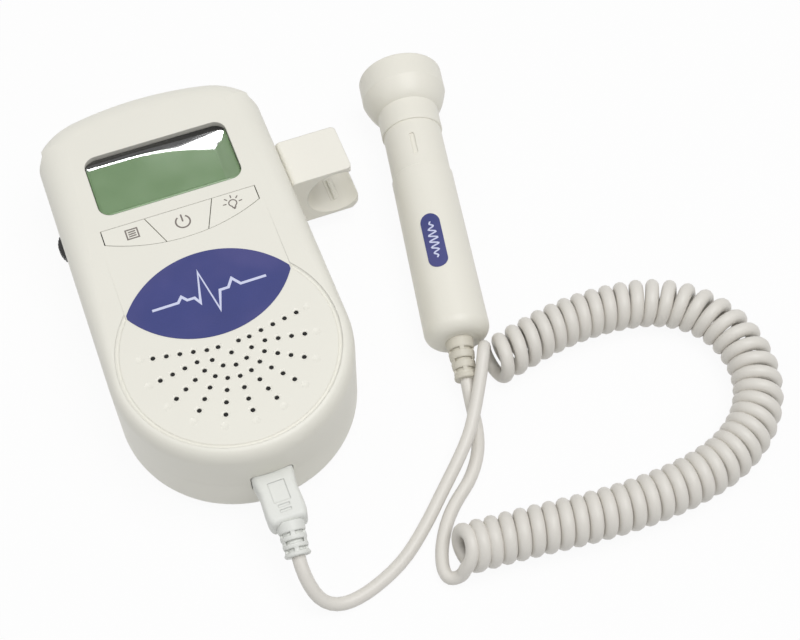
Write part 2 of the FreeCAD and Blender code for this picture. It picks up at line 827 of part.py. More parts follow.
def rear_shell():
    limit = case_form(wall / 2)
    lip_top = split_z + lip_height
    posts = [cylinder(x, y, 0, lip_top + BEYOND, case_post_r).common(limit) for x, y in case_screws_at]
    walls = joined([form_outer.cut(form_inner)] + posts).common(below(lip_top))
    outside_lip = above(split_z).cut(case_form(wall - lip_thickness))
    post_tops = [cylinder(x, y, split_z, lip_top + BEYOND, case_post_r + case_post_gap)
                 for x, y in case_screws_at]
    walls = walls.cut([outside_lip] + post_tops)
    stand_top = socket_board_high_z - socket_board_thickness
    stand_low = wall + door_gap + OVERLAP
    stands = [box(x - stand_half, x + stand_half, y - stand_half, y + stand_half, stand_low, stand_top)
              for x in (-stand_x, stand_x) for y in stand_y]
    shell = joined([walls, battery_bay().common(limit)] + stands)
    cuts = [
        box(-door_half - door_gap, door_half + door_gap, -half_width - BEYOND, bay_high_y,
            -BEYOND, wall + door_gap),
        clip_slot(),
        plug_opening(),
        jack_opening(),
        wheel_slot(),
    ]
    for x, y in case_screws_at:
        cuts.append(cylinder(x, y, -BEYOND, split_z + BEYOND, case_screw_r + screw_gap))
        cuts.append(cylinder(x, y, -BEYOND, case_screw_recess, case_screw_head_r + screw_head_gap))
    return shell.cut(cuts)


def battery_door():
    """Sliding door: a plate flush with the back, ribs and two flanges over the case's floor."""
    far_y = bay_high_y - door_gap
    plate = box(-door_half, door_half, -half_width - BEYOND, far_y, door_rest_gap, wall)
    plate = plate.common(form_outer)
    y0 = bay_low_y + door_travel + door_stop_gap
    y1 = door_flange_end_y
    pieces = [plate]
    for side in (-1, 1):
        inner = side * (door_half - door_rib)
        outer = side * door_half
        tip = side * (door_half + door_flange)
        pieces.append(box(min(inner, outer), max(inner, outer), y0, y1, wall - OVERLAP, door_flange_high_z))
        pieces.append(box(min(outer, tip), max(outer, tip), y0, y1, door_flange_low_z, door_flange_high_z))
    grips = []
    for row in range(door_grip_count):
        place = Vec(-door_grip_width / 2, y0 + door_grip_start - row * door_grip_pitch, door_rest_gap)
        grips.append(Part.makeCylinder(door_grip_r, door_grip_width, place, X_AXIS))
    return joined(pieces).cut(grips)


# ---- face pieces ----
def display_lens():
    top = case_height - lens_sink
    plate = window(lens_gap, face_low_z - lens_flange_thickness, top)
    upper = [e for e in plate.Edges if abs(e.BoundBox.ZMin - top) < 0.01]
    plate = plate.makeFillet(lens_edge_round, upper)
    half = window_width / 2 + lens_flange
    flange = box(-half, half, window_low_y - lens_flange, window_high_y + lens_flange,
                 face_low_z - lens_flange_thickness, face_low_z)
    return joined([plate, flange])


def key_cap(side, centre_x, centre_y):
    """One key: side -1 is the menu key, 0 the power key, 1 the light key."""
    slit = key_side_gap / 2

    def slice_of(solid):
        right = divider_region(slit)
        if side == 1:
            return solid.common(right)
        if side == -1:
            return solid.common(mirrored_x(right))
        outside = divider_region(-slit)
        return solid.cut([outside, mirrored_x(outside)])

    cap = slice_of(key_field(key_side_gap, key_edge_gap, face_low_z, case_height - key_sink))
    flange_high = face_low_z - key_flange_gap
    flange = slice_of(key_field(key_side_gap, -key_flange, flange_high - key_flange_thickness, flange_high))
    bridge = slice_of(key_field(key_side_gap, key_edge_gap, flange_high - OVERLAP, face_low_z + OVERLAP))
    stem_low = board_high_z + switch_body_height + switch_plunger_height + key_travel + key_switch_gap
    stem = cylinder(centre_x, centre_y, stem_low, flange_high, key_stem_r)
    return joined([cap, bridge, flange, stem])


def face_label():
    blank = label_half + label_tip_trim
    z = face_low_z
    upper = Part.Arc(Vec(-blank, label_mid_y, z), Vec(0, label_top_y, z), Vec(blank, label_mid_y, z))
    lower = Part.Arc(Vec(blank, label_mid_y, z), Vec(0, label_low_y, z), Vec(-blank, label_mid_y, z))
    leaf = Part.Face(Part.Wire([upper.toShape(), lower.toShape()])).extrude(Vec(0, 0, 2 * wall))
    leaf = leaf.common(box(-label_half, label_half, 0, FAR, 0, FAR))
    return leaf.common(panel_slab(0, label_thickness))


# ---- loudspeaker ----
speaker_top_z = face_low_z - cloth_thickness


def speaker_cloth():
    return cylinder(0, 0, face_low_z - cloth_thickness, face_low_z, speaker_r - cloth_margin)


def speaker_frame():
    flange = cylinder(0, 0, speaker_top_z - speaker_flange, speaker_top_z, speaker_r)
    low = speaker_top_z - speaker_flange - speaker_basket_depth
    basket = Part.makeCone(magnet_r, speaker_basket_r, speaker_basket_depth, Vec(0, 0, low), Z_AXIS)
    hollow = Part.makeCone(magnet_r - speaker_shell, speaker_basket_r - speaker_shell,
                           speaker_basket_depth - speaker_shell, Vec(0, 0, low + speaker_shell), Z_AXIS)
    mouth = cylinder(0, 0, low + speaker_basket_depth, speaker_top_z + BEYOND,
                     speaker_basket_r - speaker_shell)
    return flange.fuse(basket).cut([hollow, mouth]).removeSplitter()


def speaker_cone():
    """Paper cone with its dome, hung in the frame's mouth."""
    paper = cone_paper
    rim_r = speaker_basket_r - speaker_shell
    rim_z = speaker_top_z - cone_rim_sink
    slope_r = rim_r - cone_rim_width
    coil_r = cone_coil_r - paper
    neck_z = rim_z - cone_depth
    coil_low_z = neck_z - paper - cone_coil_length
    profile = [
        Vec(rim_r, 0, rim_z), Vec(rim_r, 0, rim_z - paper), Vec(slope_r, 0, rim_z - paper),
        Vec(cone_coil_r, 0, neck_z - paper), Vec(cone_coil_r, 0, coil_low_z), Vec(coil_r, 0, coil_low_z),
        Vec(coil_r, 0, neck_z), Vec(0, 0, neck_z + cone_dome), Vec(0, 0, neck_z + cone_dome + paper),
        Vec(coil_r, 0, neck_z + paper), Vec(cone_coil_r, 0, neck_z + paper), Vec(slope_r, 0, rim_z),
    ]
    return Part.Face(polygon(profile)).revolve(Vec(0, 0, 0), Z_AXIS, 360)


def speaker_magnet():
    high = speaker_top_z - speaker_flange - speaker_basket_depth
    low = bay_ceiling_z + bay_ceiling + magnet_bay_gap
    return cylinder(0, 0, low, high, magnet_r)


# ---- electronics ----
def main_board():
    board = box(-board_half, board_half, board_low_y, board_high_y, board_low_z, board_high_z)
    rounded = [e for e in board.Edges if abs(e.Vertexes[0].Z - e.Vertexes[-1].Z) > 0.1]
    board = board.makeFillet(board_corner_r, rounded)
    cuts = [cylinder(x, y, 0, FAR, case_post_r + board_post_gap) for x, y in case_screws_at]
    cuts += [cylinder(x, y, 0, FAR, board_screw_r + screw_gap) for x, y in board_screws_at]
    return board.common(case_form(wall + board_side_gap)).cut(cuts)


key_places = ((-key_centre_x, key_centre_y), (0, power_centre_y), (key_centre_x, key_centre_y))


def key_switches():
    switches = []
    half = switch_size / 2
    top = board_high_z + switch_body_height
    for x, y in key_places:
        body = box(x - half, x + half, y - half, y + half, board_high_z, top)
        plunger = cylinder(x, y, top - OVERLAP, top + switch_plunger_height, switch_plunger_r)
        switches.append(joined([body, plunger]))
    return switches


def board_chips():
    """Processor, audio amplifier and smaller parts on the board's underside."""
    chips = []
    for (x, y), (width, length) in zip(chip_places, chip_sizes):
        chips.append(box(x - width / 2, x + width / 2, y - length / 2, y + length / 2,
                         board_low_z - chip_height, board_low_z))
    return chips


def lcd_outline(grow, z0, z1):
    half = lcd_width / 2 + grow
    return box(-half, half, lcd_low_y - grow, lcd_low_y + lcd_length + grow, z0, z1)


lcd_low_z = board_high_z + backlight_thickness
lcd_high_z = lcd_low_z + lcd_thickness


def lcd_frame():
    outer = lcd_outline(frame_gap + frame_wall, board_high_z, lcd_high_z)
    return outer.cut(lcd_outline(frame_gap, board_high_z - BEYOND, lcd_high_z + BEYOND))


def headphone_jack():
    """Socket body under the board, with a round nose through the display end."""
    nose_end_y = display_end_y - jack_nose_sink
    body_high_y = display_end_y - wall - jack_body_gap
    body_low_z = 2 * jack_mid_z - board_low_z
    body = box(jack_x - jack_width / 2, jack_x + jack_width / 2, body_high_y - jack_length, body_high_y,
               body_low_z, board_low_z)
    nose_start = Vec(jack_x, body_high_y - OVERLAP, jack_mid_z)
    nose = Part.makeCylinder(jack_nose_r, nose_end_y - nose_start.y, nose_start, Y_AXIS)
    bore_start = Vec(jack_x, nose_end_y - jack_bore_length, jack_mid_z)
    bore = Part.makeCylinder(jack_bore_r, jack_bore_length + BEYOND, bore_start, Y_AXIS)
    return joined([body, nose]).cut(bore)


def volume_wheel():
    low = wheel_mid_z - wheel_thickness / 2
    wheel = cylinder(wheel_x, wheel_y, low, low + wheel_thickness, wheel_r)
    grooves = []
    for k in range(wheel_grooves):
        angle = 2 * math.pi * k / wheel_grooves
        x = wheel_x + wheel_r * math.cos(angle)
        y = wheel_y + wheel_r * math.sin(angle)
        grooves.append(cylinder(x, y, low - BEYOND, low + wheel_thickness + BEYOND, wheel_groove_r))
    shaft = cylinder(wheel_x, wheel_y, low - wheel_shaft_length, low + OVERLAP, wheel_shaft_r)
    return joined([wheel.cut(grooves), shaft])


def volume_pot():
    """Potentiometer under the wheel, hung from the board by its leg."""
    high = wheel_mid_z - wheel_thickness / 2 - wheel_gap
    low = high - pot_height
    leg_x = wheel_x + wheel_r + wheel_gap
    base = box(wheel_x - pot_half + pot_shift, leg_x + pot_leg, wheel_y - pot_half, wheel_y + pot_half,
               low, high)
    leg = box(leg_x, leg_x + pot_leg, wheel_y - pot_half, wheel_y + pot_half, low, board_low_z)
    hole = cylinder(wheel_x, wheel_y, low + pot_floor, high + BEYOND, wheel_shaft_r + shaft_gap)
    return joined([base, leg]).cut(hole)


# ---- batteries ----
cell_x = cell_r + cell_gap / 2
cell_low_y = (bay_low_y + bay_high_y - cell_length - cell_nub) / 2


def aa_batteries():
    cells = []
    for side in (-1, 1):
        x = side * cell_x
        start = cell_low_y if side > 0 else cell_low_y + cell_nub
        can = Part.makeCylinder(cell_r, cell_length, Vec(x, start, cell_mid_z), Y_AXIS)
        nub_start = start if side > 0 else start - cell_nub
        nub = Part.makeCylinder(cell_nub_r, cell_length + cell_nub, Vec(x, nub_start, cell_mid_z), Y_AXIS)
        cells.append(joined([can, nub]))
    return cells


def battery_contacts():
    """Sheet-metal leaves at both ends of each cell, bent to reach the cell."""
    leaves = []
    reach = cell_low_y - bay_low_y - contact_cell_gap
    thick = contact_thickness
    for side in (-1, 1):
        x0 = side * cell_x - contact_half
        for end_y, way in ((bay_low_y, 1), (bay_high_y, -1)):
            foot = cell_mid_z - contact_half - contact_foot
            high = cell_mid_z + contact_half
            outline = [
                Vec(x0, end_y, foot), Vec(x0, end_y, high), Vec(x0, end_y + way * thick, high),
                Vec(x0, end_y + way * thick, foot + thick),
                Vec(x0, end_y + way * reach, cell_mid_z),
                Vec(x0, end_y + way * reach, cell_mid_z - thick),
                Vec(x0, end_y + way * thick * 2, foot),
            ]
            leaves.append(prism(polygon(outline), Vec(2 * contact_half, 0, 0)))
    return leaves


# ---- fasteners ----
def countersunk(x, y, head_low_z, head_height, head_r, shank_r, end_z):
    head = cylinder(x, y, head_low_z, head_low_z + head_height, head_r)
    shank = cylinder(x, y, head_low_z, end_z, shank_r)
    half = screw_drive_half
    low = head_low_z - BEYOND
    high = head_low_z + head_height / 2
    slot = box(x - head_r, x + head_r, y - half, y + half, low, high)
    cross = box(x - half, x + half, y - head_r, y + head_r, low, high)
    drive = slot.fuse(cross).common(cylinder(x, y, low, end_z, head_r * screw_drive_r))
    return joined([head, shank]).cut(drive)


def case_screws():
    low = case_screw_recess - case_screw_head
    return [countersunk(x, y, low, case_screw_head, case_screw_head_r, case_screw_r, case_screw_end_z)
            for x, y in case_screws_at]


def board_screws():
    low = board_low_z - board_screw_head
    return [countersunk(x, y, low, board_screw_head, board_screw_head_r, board_screw_r, board_screw_end_z)
            for x, y in board_screws_at]


# ---- probe clip ----
def probe_clip():
    """C-shaped cradle, open to +X, held by a T-shaped tongue in the case's side wall."""
    low_z = clip_axis_z - clip_bore_r - clip_jaw_wall
    high_z = clip_axis_z + clip_bore_r + clip_jaw_wall
    left_x = half_width + clip_side_gap
    y0 = clip_low_y
    y1 = clip_low_y + clip_length
    block = prism(polygon([
        Vec(left_x, y0, low_z),
        Vec(clip_low_end_x - clip_low_corner, y0, low_z),
        Vec(clip_low_end_x, y0, low_z + clip_low_corner),
        Vec(clip_low_end_x, y0, clip_axis_z),
        Vec(clip_top_end_x, y0, clip_axis_z),
        Vec(clip_top_end_x, y0, high_z),
        Vec(left_x, y0, high_z),
    ]), Vec(0, clip_length, 0))
    ends = [e for e in block.Edges
            if abs(e.Vertexes[0].Z - e.Vertexes[-1].Z) > 3 and e.BoundBox.XMin > clip_top_end_x - 0.1
            and e.BoundBox.YLength < 0.1 and e.BoundBox.XLength < 0.1]
    block = block.makeFillet(clip_edge_r, ends)
    top_long = [e for e in block.Edges if e.BoundBox.YLength > 10 and abs(e.BoundBox.ZMin - high_z) < 0.01
                and e.BoundBox.XMax < left_x + 0.1]
    block = block.makeFillet(clip_edge_r, top_long)
    bore_start = Vec(clip_axis_x, y0 - BEYOND, clip_axis_z)
    bore = Part.makeCylinder(clip_bore_r, clip_length + 2 * BEYOND, bore_start, Y_AXIS)
    mouth = box(clip_top_end_x, clip_low_end_x + BEYOND, y0 - BEYOND, y1 + BEYOND,
                clip_axis_z - BEYOND, high_z + BEYOND)
    block = block.cut([bore, mouth])
    groove_start = Vec(clip_axis_x, clip_rib_y[0], clip_axis_z)
    groove_ring = Part.makeCylinder(clip_bore_r + clip_groove_depth, clip_rib_y[1] - clip_rib_y[0],
                                    groove_start, Y_AXIS)
    grooves = []
    for side in (-1, 1):
        inner_edge = clip_rib_x + side * clip_rib_width / 2
        outer_edge = inner_edge + side * clip_groove_width
        window = box(min(inner_edge, outer_edge), max(inner_edge, outer_edge), clip_rib_y[0], clip_rib_y[1],
                     low_z - BEYOND, clip_axis_z)
        grooves.append(groove_ring.common(window))
    block = block.cut(grooves)
    ty0, ty1 = clip_tongue_y
    tz0, tz1 = clip_tongue_z
    inner_x = half_width - wall
    tongue = box(inner_x - OVERLAP, left_x + OVERLAP, ty0, ty1, tz0, tz1)
    grow = clip_head_grow
    head_x = inner_x - clip_slot_gap
    head = box(head_x - clip_head_thickness, head_x, ty0 - grow, ty1 + grow, tz0 - grow, tz1 + grow)
    return joined([block, tongue, head])


# ---- probe ----
def probe_frame():
    """Placement that carries local +Z onto the probe's axis and local +Y upwards."""
    along = Vec(probe_direction).normalize()
    across = Z_AXIS.cross(along).normalize()
    upward = along.cross(across)
    return FreeCAD.Placement(probe_face_point, FreeCAD.Rotation(across, upward, along, "ZXY"))


probe_place = probe_frame()
spigot_r = probe_neck_r - probe_wall - probe_spigot_gap
spigot_inner_r = spigot_r - probe_wall


def placed(shape):
    moved = shape.copy()
    moved.Placement = probe_place.multiply(moved.Placement)
    return moved


def turned(edges):
    """A solid of revolution about the probe's axis, from edges drawn in local XZ."""
    wire = Part.Wire(Part.__sortEdges__(edges))
    return Part.Face(wire).revolve(Vec(0, 0, 0), Z_AXIS, 360)


def line(r0, t0, r1, t1):
    return Part.LineSegment(Vec(r0, 0, t0), Vec(r1, 0, t1)).toShape()


def bezier(points):
    curve = Part.BezierCurve()
    curve.setPoles([Vec(r, 0, t) for r, t in points])
    return curve.toShape()


def quarter_round(r, t, reach):
    """Rounds the corner at radius r and distance t, towards later distances if reach is positive."""
    size = abs(reach)
    shift = 1 - DIAGONAL
    return Part.Arc(Vec(r, 0, t + reach), Vec(r - size * shift, 0, t + reach * shift),
                    Vec(r - size, 0, t)).toShape()


def ring_between(r0, r1, t0, t1):
    return turned([line(r0, t0, r1, t0), line(r1, t0, r1, t1), line(r1, t1, r0, t1), line(r0, t1, r0, t0)])


def probe_head():
    """Flared cup and neck, open at the face for the window and at the collar for the spigot."""
    edge = probe_cup_edge_r
    cup = probe_cup_r
    neck = probe_neck_r
    inner_cup = probe_face_r + probe_face_gap
    back_cup = inner_cup - probe_bowl_wall
    inner_neck = probe_neck_r - probe_wall
    inner_neck_t = probe_bowl_end - bowl_inside_early
    neck_end = probe_neck_end
    neck_edge = probe_neck_edge_r
    seat = probe_face_thickness
    leave_in, leave_back = probe_bowl_leave
    join_out, join_ahead = probe_bowl_join
    inside_in, inside_back = bowl_inside_leave
    inside_out, inside_ahead = bowl_inside_join
    outer = [
        line(inner_cup, 0, cup - edge, 0),
        quarter_round(cup, 0, edge),
        line(cup, edge, cup, probe_cup_length),
        bezier([(cup, probe_cup_length), (cup - leave_in, probe_cup_length + leave_back),
                (neck + join_out, probe_bowl_end - join_ahead), (neck, probe_bowl_end)]),
        line(neck, probe_bowl_end, neck, neck_end - neck_edge),
        quarter_round(neck, neck_end, -neck_edge),
        line(neck - neck_edge, neck_end, inner_neck, neck_end),
        line(inner_neck, neck_end, inner_neck, inner_neck_t),
        bezier([(inner_neck, inner_neck_t), (inner_neck + inside_out, inner_neck_t - inside_ahead),
                (back_cup - inside_in, probe_cup_length + inside_back), (back_cup, probe_cup_length)]),
        line(back_cup, probe_cup_length, back_cup, seat),
        line(back_cup, seat, inner_cup, seat),
        line(inner_cup, seat, inner_cup, 0),
    ]
    return placed(turned(outer))


def slot_cutter():
    t0, t1 = probe_slot
    half = probe_slot_width / 2
    low = probe_collar_r - probe_slot_depth
    slot = box(-half, half, low, probe_collar_r + BEYOND, t0 + half, t1 - half)
    ends = [Part.makeCylinder(half, probe_slot_depth + BEYOND, Vec(0, low, t), Y_AXIS)
            for t in (t0 + half, t1 - half)]
    slot = slot.multiFuse(ends)
    slot.rotate(Vec(0, 0, 0), Z_AXIS, probe_slot_angle * tilt_sign)
    return slot


# +1 where a positive turn about the probe's axis carries its top towards the main unit
tilt_sign = 1 if probe_place.Rotation.multVec(X_AXIS).x > 0 else -1


def probe_collar():
    collar = ring_between(spigot_inner_r, probe_collar_r, probe_neck_end, probe_collar_end)
    spigots = ring_between(spigot_inner_r, spigot_r, probe_neck_end - spigot_in_head,
                           probe_collar_end + spigot_in_handle)
    bed_start, bed_end = seal_bed
    groove = ring_between(seal_bed_r, spigot_r + BEYOND, probe_neck_end - bed_start, probe_neck_end - bed_end)
    return placed(collar.fuse(spigots).removeSplitter().cut([groove, slot_cutter()]))


def probe_seal():
    bed_start, bed_end = seal_bed
    return placed(ring_between(seal_bed_r, spigot_r + probe_spigot_gap / 2,
                               probe_neck_end - bed_start + seal_end_gap,
                               probe_neck_end - bed_end - seal_end_gap))


def grip_r(t):
    share = (t - probe_collar_end) / (probe_length - probe_collar_end)
    return probe_grip_start_r + share * (probe_grip_end_r - probe_grip_start_r)


def probe_handle():
    start = probe_collar_end
    end = probe_length
    bend = probe_end_round
    outer_r = grip_r(end - bend)
    hole_r = probe_cord_hole_r
    wall_in = probe_wall
    outer_arc = Part.Arc(Vec(outer_r, 0, end - bend),
                         Vec(outer_r - bend * (1 - DIAGONAL), 0, end - bend * (1 - DIAGONAL)),
                         Vec(outer_r - bend, 0, end)).toShape()
    bend_in = bend - wall_in
    inner_arc = Part.Arc(Vec(outer_r - wall_in, 0, end - bend),
                         Vec(outer_r - wall_in - bend_in * (1 - DIAGONAL), 0,
                             end - wall_in - bend_in * (1 - DIAGONAL)),
                         Vec(outer_r - bend, 0, end - wall_in)).toShape()
    socket_r = probe_neck_r - probe_wall
    socket_t = start + spigot_in_handle + BEYOND
    edge = probe_grip_edge_r
    edges = [
        line(socket_r, start, probe_grip_start_r - edge, start),
        quarter_round(probe_grip_start_r, start, edge),
        line(probe_grip_start_r, start + edge, outer_r, end - bend),
        outer_arc,
        line(outer_r - bend, end, hole_r, end),
        line(hole_r, end, hole_r, end - wall_in),
        line(hole_r, end - wall_in, outer_r - bend, end - wall_in),
        inner_arc,
        line(outer_r - wall_in, end - bend, socket_r, socket_t),
        line(socket_r, socket_t, socket_r, start),
    ]
    return placed(turned(edges))


def probe_label():
    t0 = pill_start + pill_half
    t1 = pill_end - pill_half
    high = probe_grip_end_r + BEYOND
    pill = box(-pill_half, pill_half, 0, high, t0, t1)
    pill = pill.multiFuse([Part.makeCylinder(pill_half, high, Vec(0, 0, t), Y_AXIS) for t in (t0, t1)])
    pill.rotate(Vec(0, 0, 0), Z_AXIS, pill_angle * tilt_sign)
    first_t = pill_start - pill_margin
    last_t = pill_end + pill_margin
    first_r = grip_r(first_t)
    last_r = grip_r(last_t)
    skin = turned([
        line(first_r, first_t, last_r, last_t),
        line(last_r, last_t, last_r + pill_thickness, last_t),
        line(last_r + pill_thickness, last_t, first_r + pill_thickness, first_t),
        line(first_r + pill_thickness, first_t, first_r, first_t),
    ])
    return placed(pill.common(skin))


def probe_crystals():
    t0 = probe_face_thickness
    disc = cylinder(0, 0, t0, t0 + crystal_thickness, crystal_r)
    halves = disc.cut(box(-crystal_slit / 2, crystal_slit / 2, -FAR, FAR, 0, FAR))
    return placed(halves)


def probe_backing():
    t0 = probe_face_thickness + crystal_thickness
    return placed(cylinder(0, 0, t0, t0 + backing_thickness, crystal_r + backing_margin))


def probe_board():
    t0 = probe_face_thickness + crystal_thickness + backing_thickness
    half = spigot_inner_r - probe_board_gap
    face = probe_board_thickness / 2
    chip_start, chip_end = probe_chip_at
    board = box(-half, half, -face, face, t0, t0 + probe_board_length)
    chip = box(-probe_chip_half, probe_chip_half, face, face + probe_chip_height,
               t0 + chip_start, t0 + chip_end)
    return placed(joined([board, chip]))


# ---- plug, reliefs and cord ----
def plug_plan():
    """The overmould's outline from above: parallel, bulging, then closing round to its tail."""
    half = plug_half
    bulge = plug_bulge_half
    y_wide0, y_wide1 = plug_bulge_y
    tail = plug_tail_half
    across, along = plug_shoulder
    right = [Vec(half, plug_front_y, 0), Vec(half, plug_parallel_end_y, 0),
             Vec(plug_waist_half, plug_waist_y, 0), Vec(bulge, y_wide0, 0), Vec(bulge, y_wide1, 0)]
    edges = [Part.LineSegment(a, b).toShape() for a, b in zip(right, right[1:])]
    shoulder = Part.BezierCurve()
    shoulder.setPoles([right[-1], Vec(bulge, plug_rear_y + along, 0), Vec(tail + across, plug_rear_y, 0),
                       Vec(tail, plug_rear_y, 0)])
    edges.append(shoulder.toShape())
    left = [mirrored_x(e) for e in edges]
    edges.append(Part.LineSegment(Vec(tail, plug_rear_y, 0), Vec(-tail, plug_rear_y, 0)).toShape())
    edges.append(Part.LineSegment(Vec(half, plug_front_y, 0), Vec(-half, plug_front_y, 0)).toShape())
    return Part.Wire(Part.__sortEdges__(edges + left))


def plug_overmould():
    low = plug_axis_z - plug_height / 2
    block = Part.Face(plug_plan()).extrude(Vec(0, 0, plug_height))
    block.translate(Vec(0, 0, low))
    rims = [e for e in block.Edges
            if e.BoundBox.ZLength < 0.01 and e.BoundBox.YLength > 0.5]
    block = block.makeFillet(plug_edge_r, rims)
    high = low + plug_height
    near_y, far_y = plug_panel_y
    recess = box(-plug_panel_half, plug_panel_half, near_y, far_y, high - plug_panel_depth, high + BEYOND)
    bars = [box(-plug_bar_half, plug_bar_half, y, y + plug_bar_width, high - plug_bar_depth, high + BEYOND)
            for y in plug_bar_y]
    return block.cut([recess] + bars)


def plug_shell():
    half = plug_shell_half
    tall = plug_shell_height / 2
    y0 = plug_front_y
    outer = box(-half, half, y0, y0 + plug_shell_length, plug_axis_z - tall, plug_axis_z + tall)
    inner = box(-half + plug_shell_wall, half - plug_shell_wall, y0 + plug_shell_back,
                y0 + plug_shell_length + BEYOND, plug_axis_z - tall + plug_shell_wall,
                plug_axis_z + tall - plug_shell_wall)
    tongue = box(-half + plug_tongue_side_gap, half - plug_tongue_side_gap, y0 + plug_shell_back - OVERLAP,
                 y0 + plug_shell_length - plug_tongue_side_gap,
                 plug_axis_z - plug_tongue_half, plug_axis_z + plug_tongue_half)
    return joined([outer.cut(inner), tongue])


def probe_socket():
    half = plug_shell_half + socket_gap
    tall = plug_shell_height / 2 + socket_gap
    y0 = shell_inner_end_y + socket_case_gap
    depth = plug_front_y + plug_shell_length + socket_depth_gap
    outer = box(-half - socket_wall, half + socket_wall, y0, y0 + socket_length,
                socket_board_high_z, plug_axis_z + tall + socket_wall)
    return outer.cut(box(-half, half, y0 - BEYOND, depth, plug_axis_z - tall, plug_axis_z + tall))


def socket_board():
    y0 = shell_inner_end_y + socket_board_case_gap
    y1 = bay_low_y - bay_wall - socket_board_bay_gap
    return box(-socket_board_half, socket_board_half, y0, y1,
               socket_board_high_z - socket_board_thickness, socket_board_high_z)


def relief_sleeve(start, end, start_r, end_r, housing):
    """Tapered sleeve moulded round the cord, with rows of slots and an end collar."""
    axis = end - start
    length = axis.Length
    body = Part.makeCone(start_r, end_r, length, Vec(0, 0, 0), Z_AXIS)
    collar = cylinder(0, 0, length - relief_collar_length, length, end_r + relief_lip)
    collar = collar.makeFillet(relief_collar_round, [e for e in collar.Edges if e.BoundBox.ZLength < 0.01])
    root = cylinder(0, 0, -relief_root, 0, start_r)
    body = body.multiFuse([collar, root])
    cuts = []
    for number, share in enumerate(relief_rows):
        t = share * length
        sleeve_r = start_r + (end_r - start_r) * share
        waist = Part.makeTorus(sleeve_r + relief_waist_r - relief_waist_depth, relief_waist_r)
        waist.translate(Vec(0, 0, t + relief_slot_width / 2))
        cuts.append(waist)
        core = cylinder(0, 0, 0, length, start_r - relief_slot_depth - relief_slot_taper * t)
        ring = cylinder(0, 0, t, t + relief_slot_width, FAR).cut(core)
        if number == relief_long_row:
            spans = [box(-relief_long_half, relief_long_half, 0, FAR, 0, length)]
        else:
            spans = [box(relief_bridge_half, FAR, relief_keel, FAR, 0, length),
                     box(-FAR, -relief_bridge_half, relief_keel, FAR, 0, length)]
        for turn in (0, 180):
            for span in spans:
                turned_span = span.copy()
                turned_span.rotate(Vec(0, 0, 0), Z_AXIS, turn)
                cuts.append(ring.common(turned_span))
    sleeve = body.cut(cuts).removeSplitter()
    along = Vec(axis).normalize()
    across = Z_AXIS.cross(along).normalize()
    upward = along.cross(across)
    sleeve.Placement = FreeCAD.Placement(start, FreeCAD.Rotation(across, upward, along, "ZXY"))
    return sleeve.cut(housing)


def cord_points(root, end, run, route):
    """The cord's points: straight on from the relief that starts at root, then along its route."""
    return [end, end + (end - root).normalize() * run] + route


plug_relief_start = Vec(0, plug_rear_y, plug_axis_z)
probe_end_point = probe_place.multVec(Vec(0, 0, probe_length))


def main():
    os.makedirs("parts", exist_ok=True)
    save("front_shell", front_shell())
    save("rear_shell", rear_shell())
    save("battery_door", battery_door())
    save("display_lens", display_lens())
    save("menu_button", key_cap(-1, *key_places[0]))
    save("power_button", key_cap(0, *key_places[1]))
    save("light_button", key_cap(1, *key_places[2]))
    save("face_label", face_label())
    save("speaker_cloth", speaker_cloth())
    save("speaker_frame", speaker_frame())
    save("speaker_cone", speaker_cone())
    save("speaker_magnet", speaker_magnet())
    save("main_board", main_board())
    save("key_switches", *key_switches())
    save("board_chips", *board_chips())
    save("lcd_glass", lcd_outline(0, lcd_low_z, lcd_high_z))
    save("lcd_frame", lcd_frame())
    save("backlight", lcd_outline(0, board_high_z, lcd_low_z))
    save("headphone_jack", headphone_jack())
    save("volume_wheel", volume_wheel())
    save("volume_pot", volume_pot())
    save("aa_batteries", *aa_batteries())
    save("battery_contacts", *battery_contacts())
    save("case_screws", *case_screws())
    save("board_screws", *board_screws())
    save("probe_clip", probe_clip())
    save("probe_socket", probe_socket())
    save("socket_board", socket_board())
    save("plug_overmould", plug_overmould())
    save("plug_shell", plug_shell())
    save("plug_strain_relief", relief_sleeve(plug_relief_start, unit_relief_end,
                                             relief_start_r, relief_end_r, plug_overmould()))
    save("probe_face", placed(cylinder(0, 0, 0, probe_face_thickness, probe_face_r)))
    save("probe_head", probe_head())
    save("probe_collar", probe_collar())
    save("probe_seal", probe_seal())
    save("probe_handle", probe_handle())
    save("probe_label", probe_label())
    save("probe_crystals", probe_crystals())
    save("probe_backing", probe_backing())
    save("probe_board", probe_board())
    save("probe_strain_relief", relief_sleeve(probe_end_point, probe_relief_end,
                                              probe_relief_start_r, probe_relief_end_r, probe_handle()))
    unit_tail = cord_points(plug_relief_start, unit_relief_end, unit_exit_run, unit_tail_route)
    probe_tail = cord_points(probe_end_point, probe_relief_end, probe_exit_run, probe_tail_route)
    save("cord_tail_unit", tube("cord_tail_unit", unit_tail, cord_d / 2))
    save("cord_tail_probe", tube("cord_tail_probe", probe_tail, cord_d / 2))
    save("curly_cord", tube("curly_cord", coil_points, coil_outer_r))


main()
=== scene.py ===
import json
import math

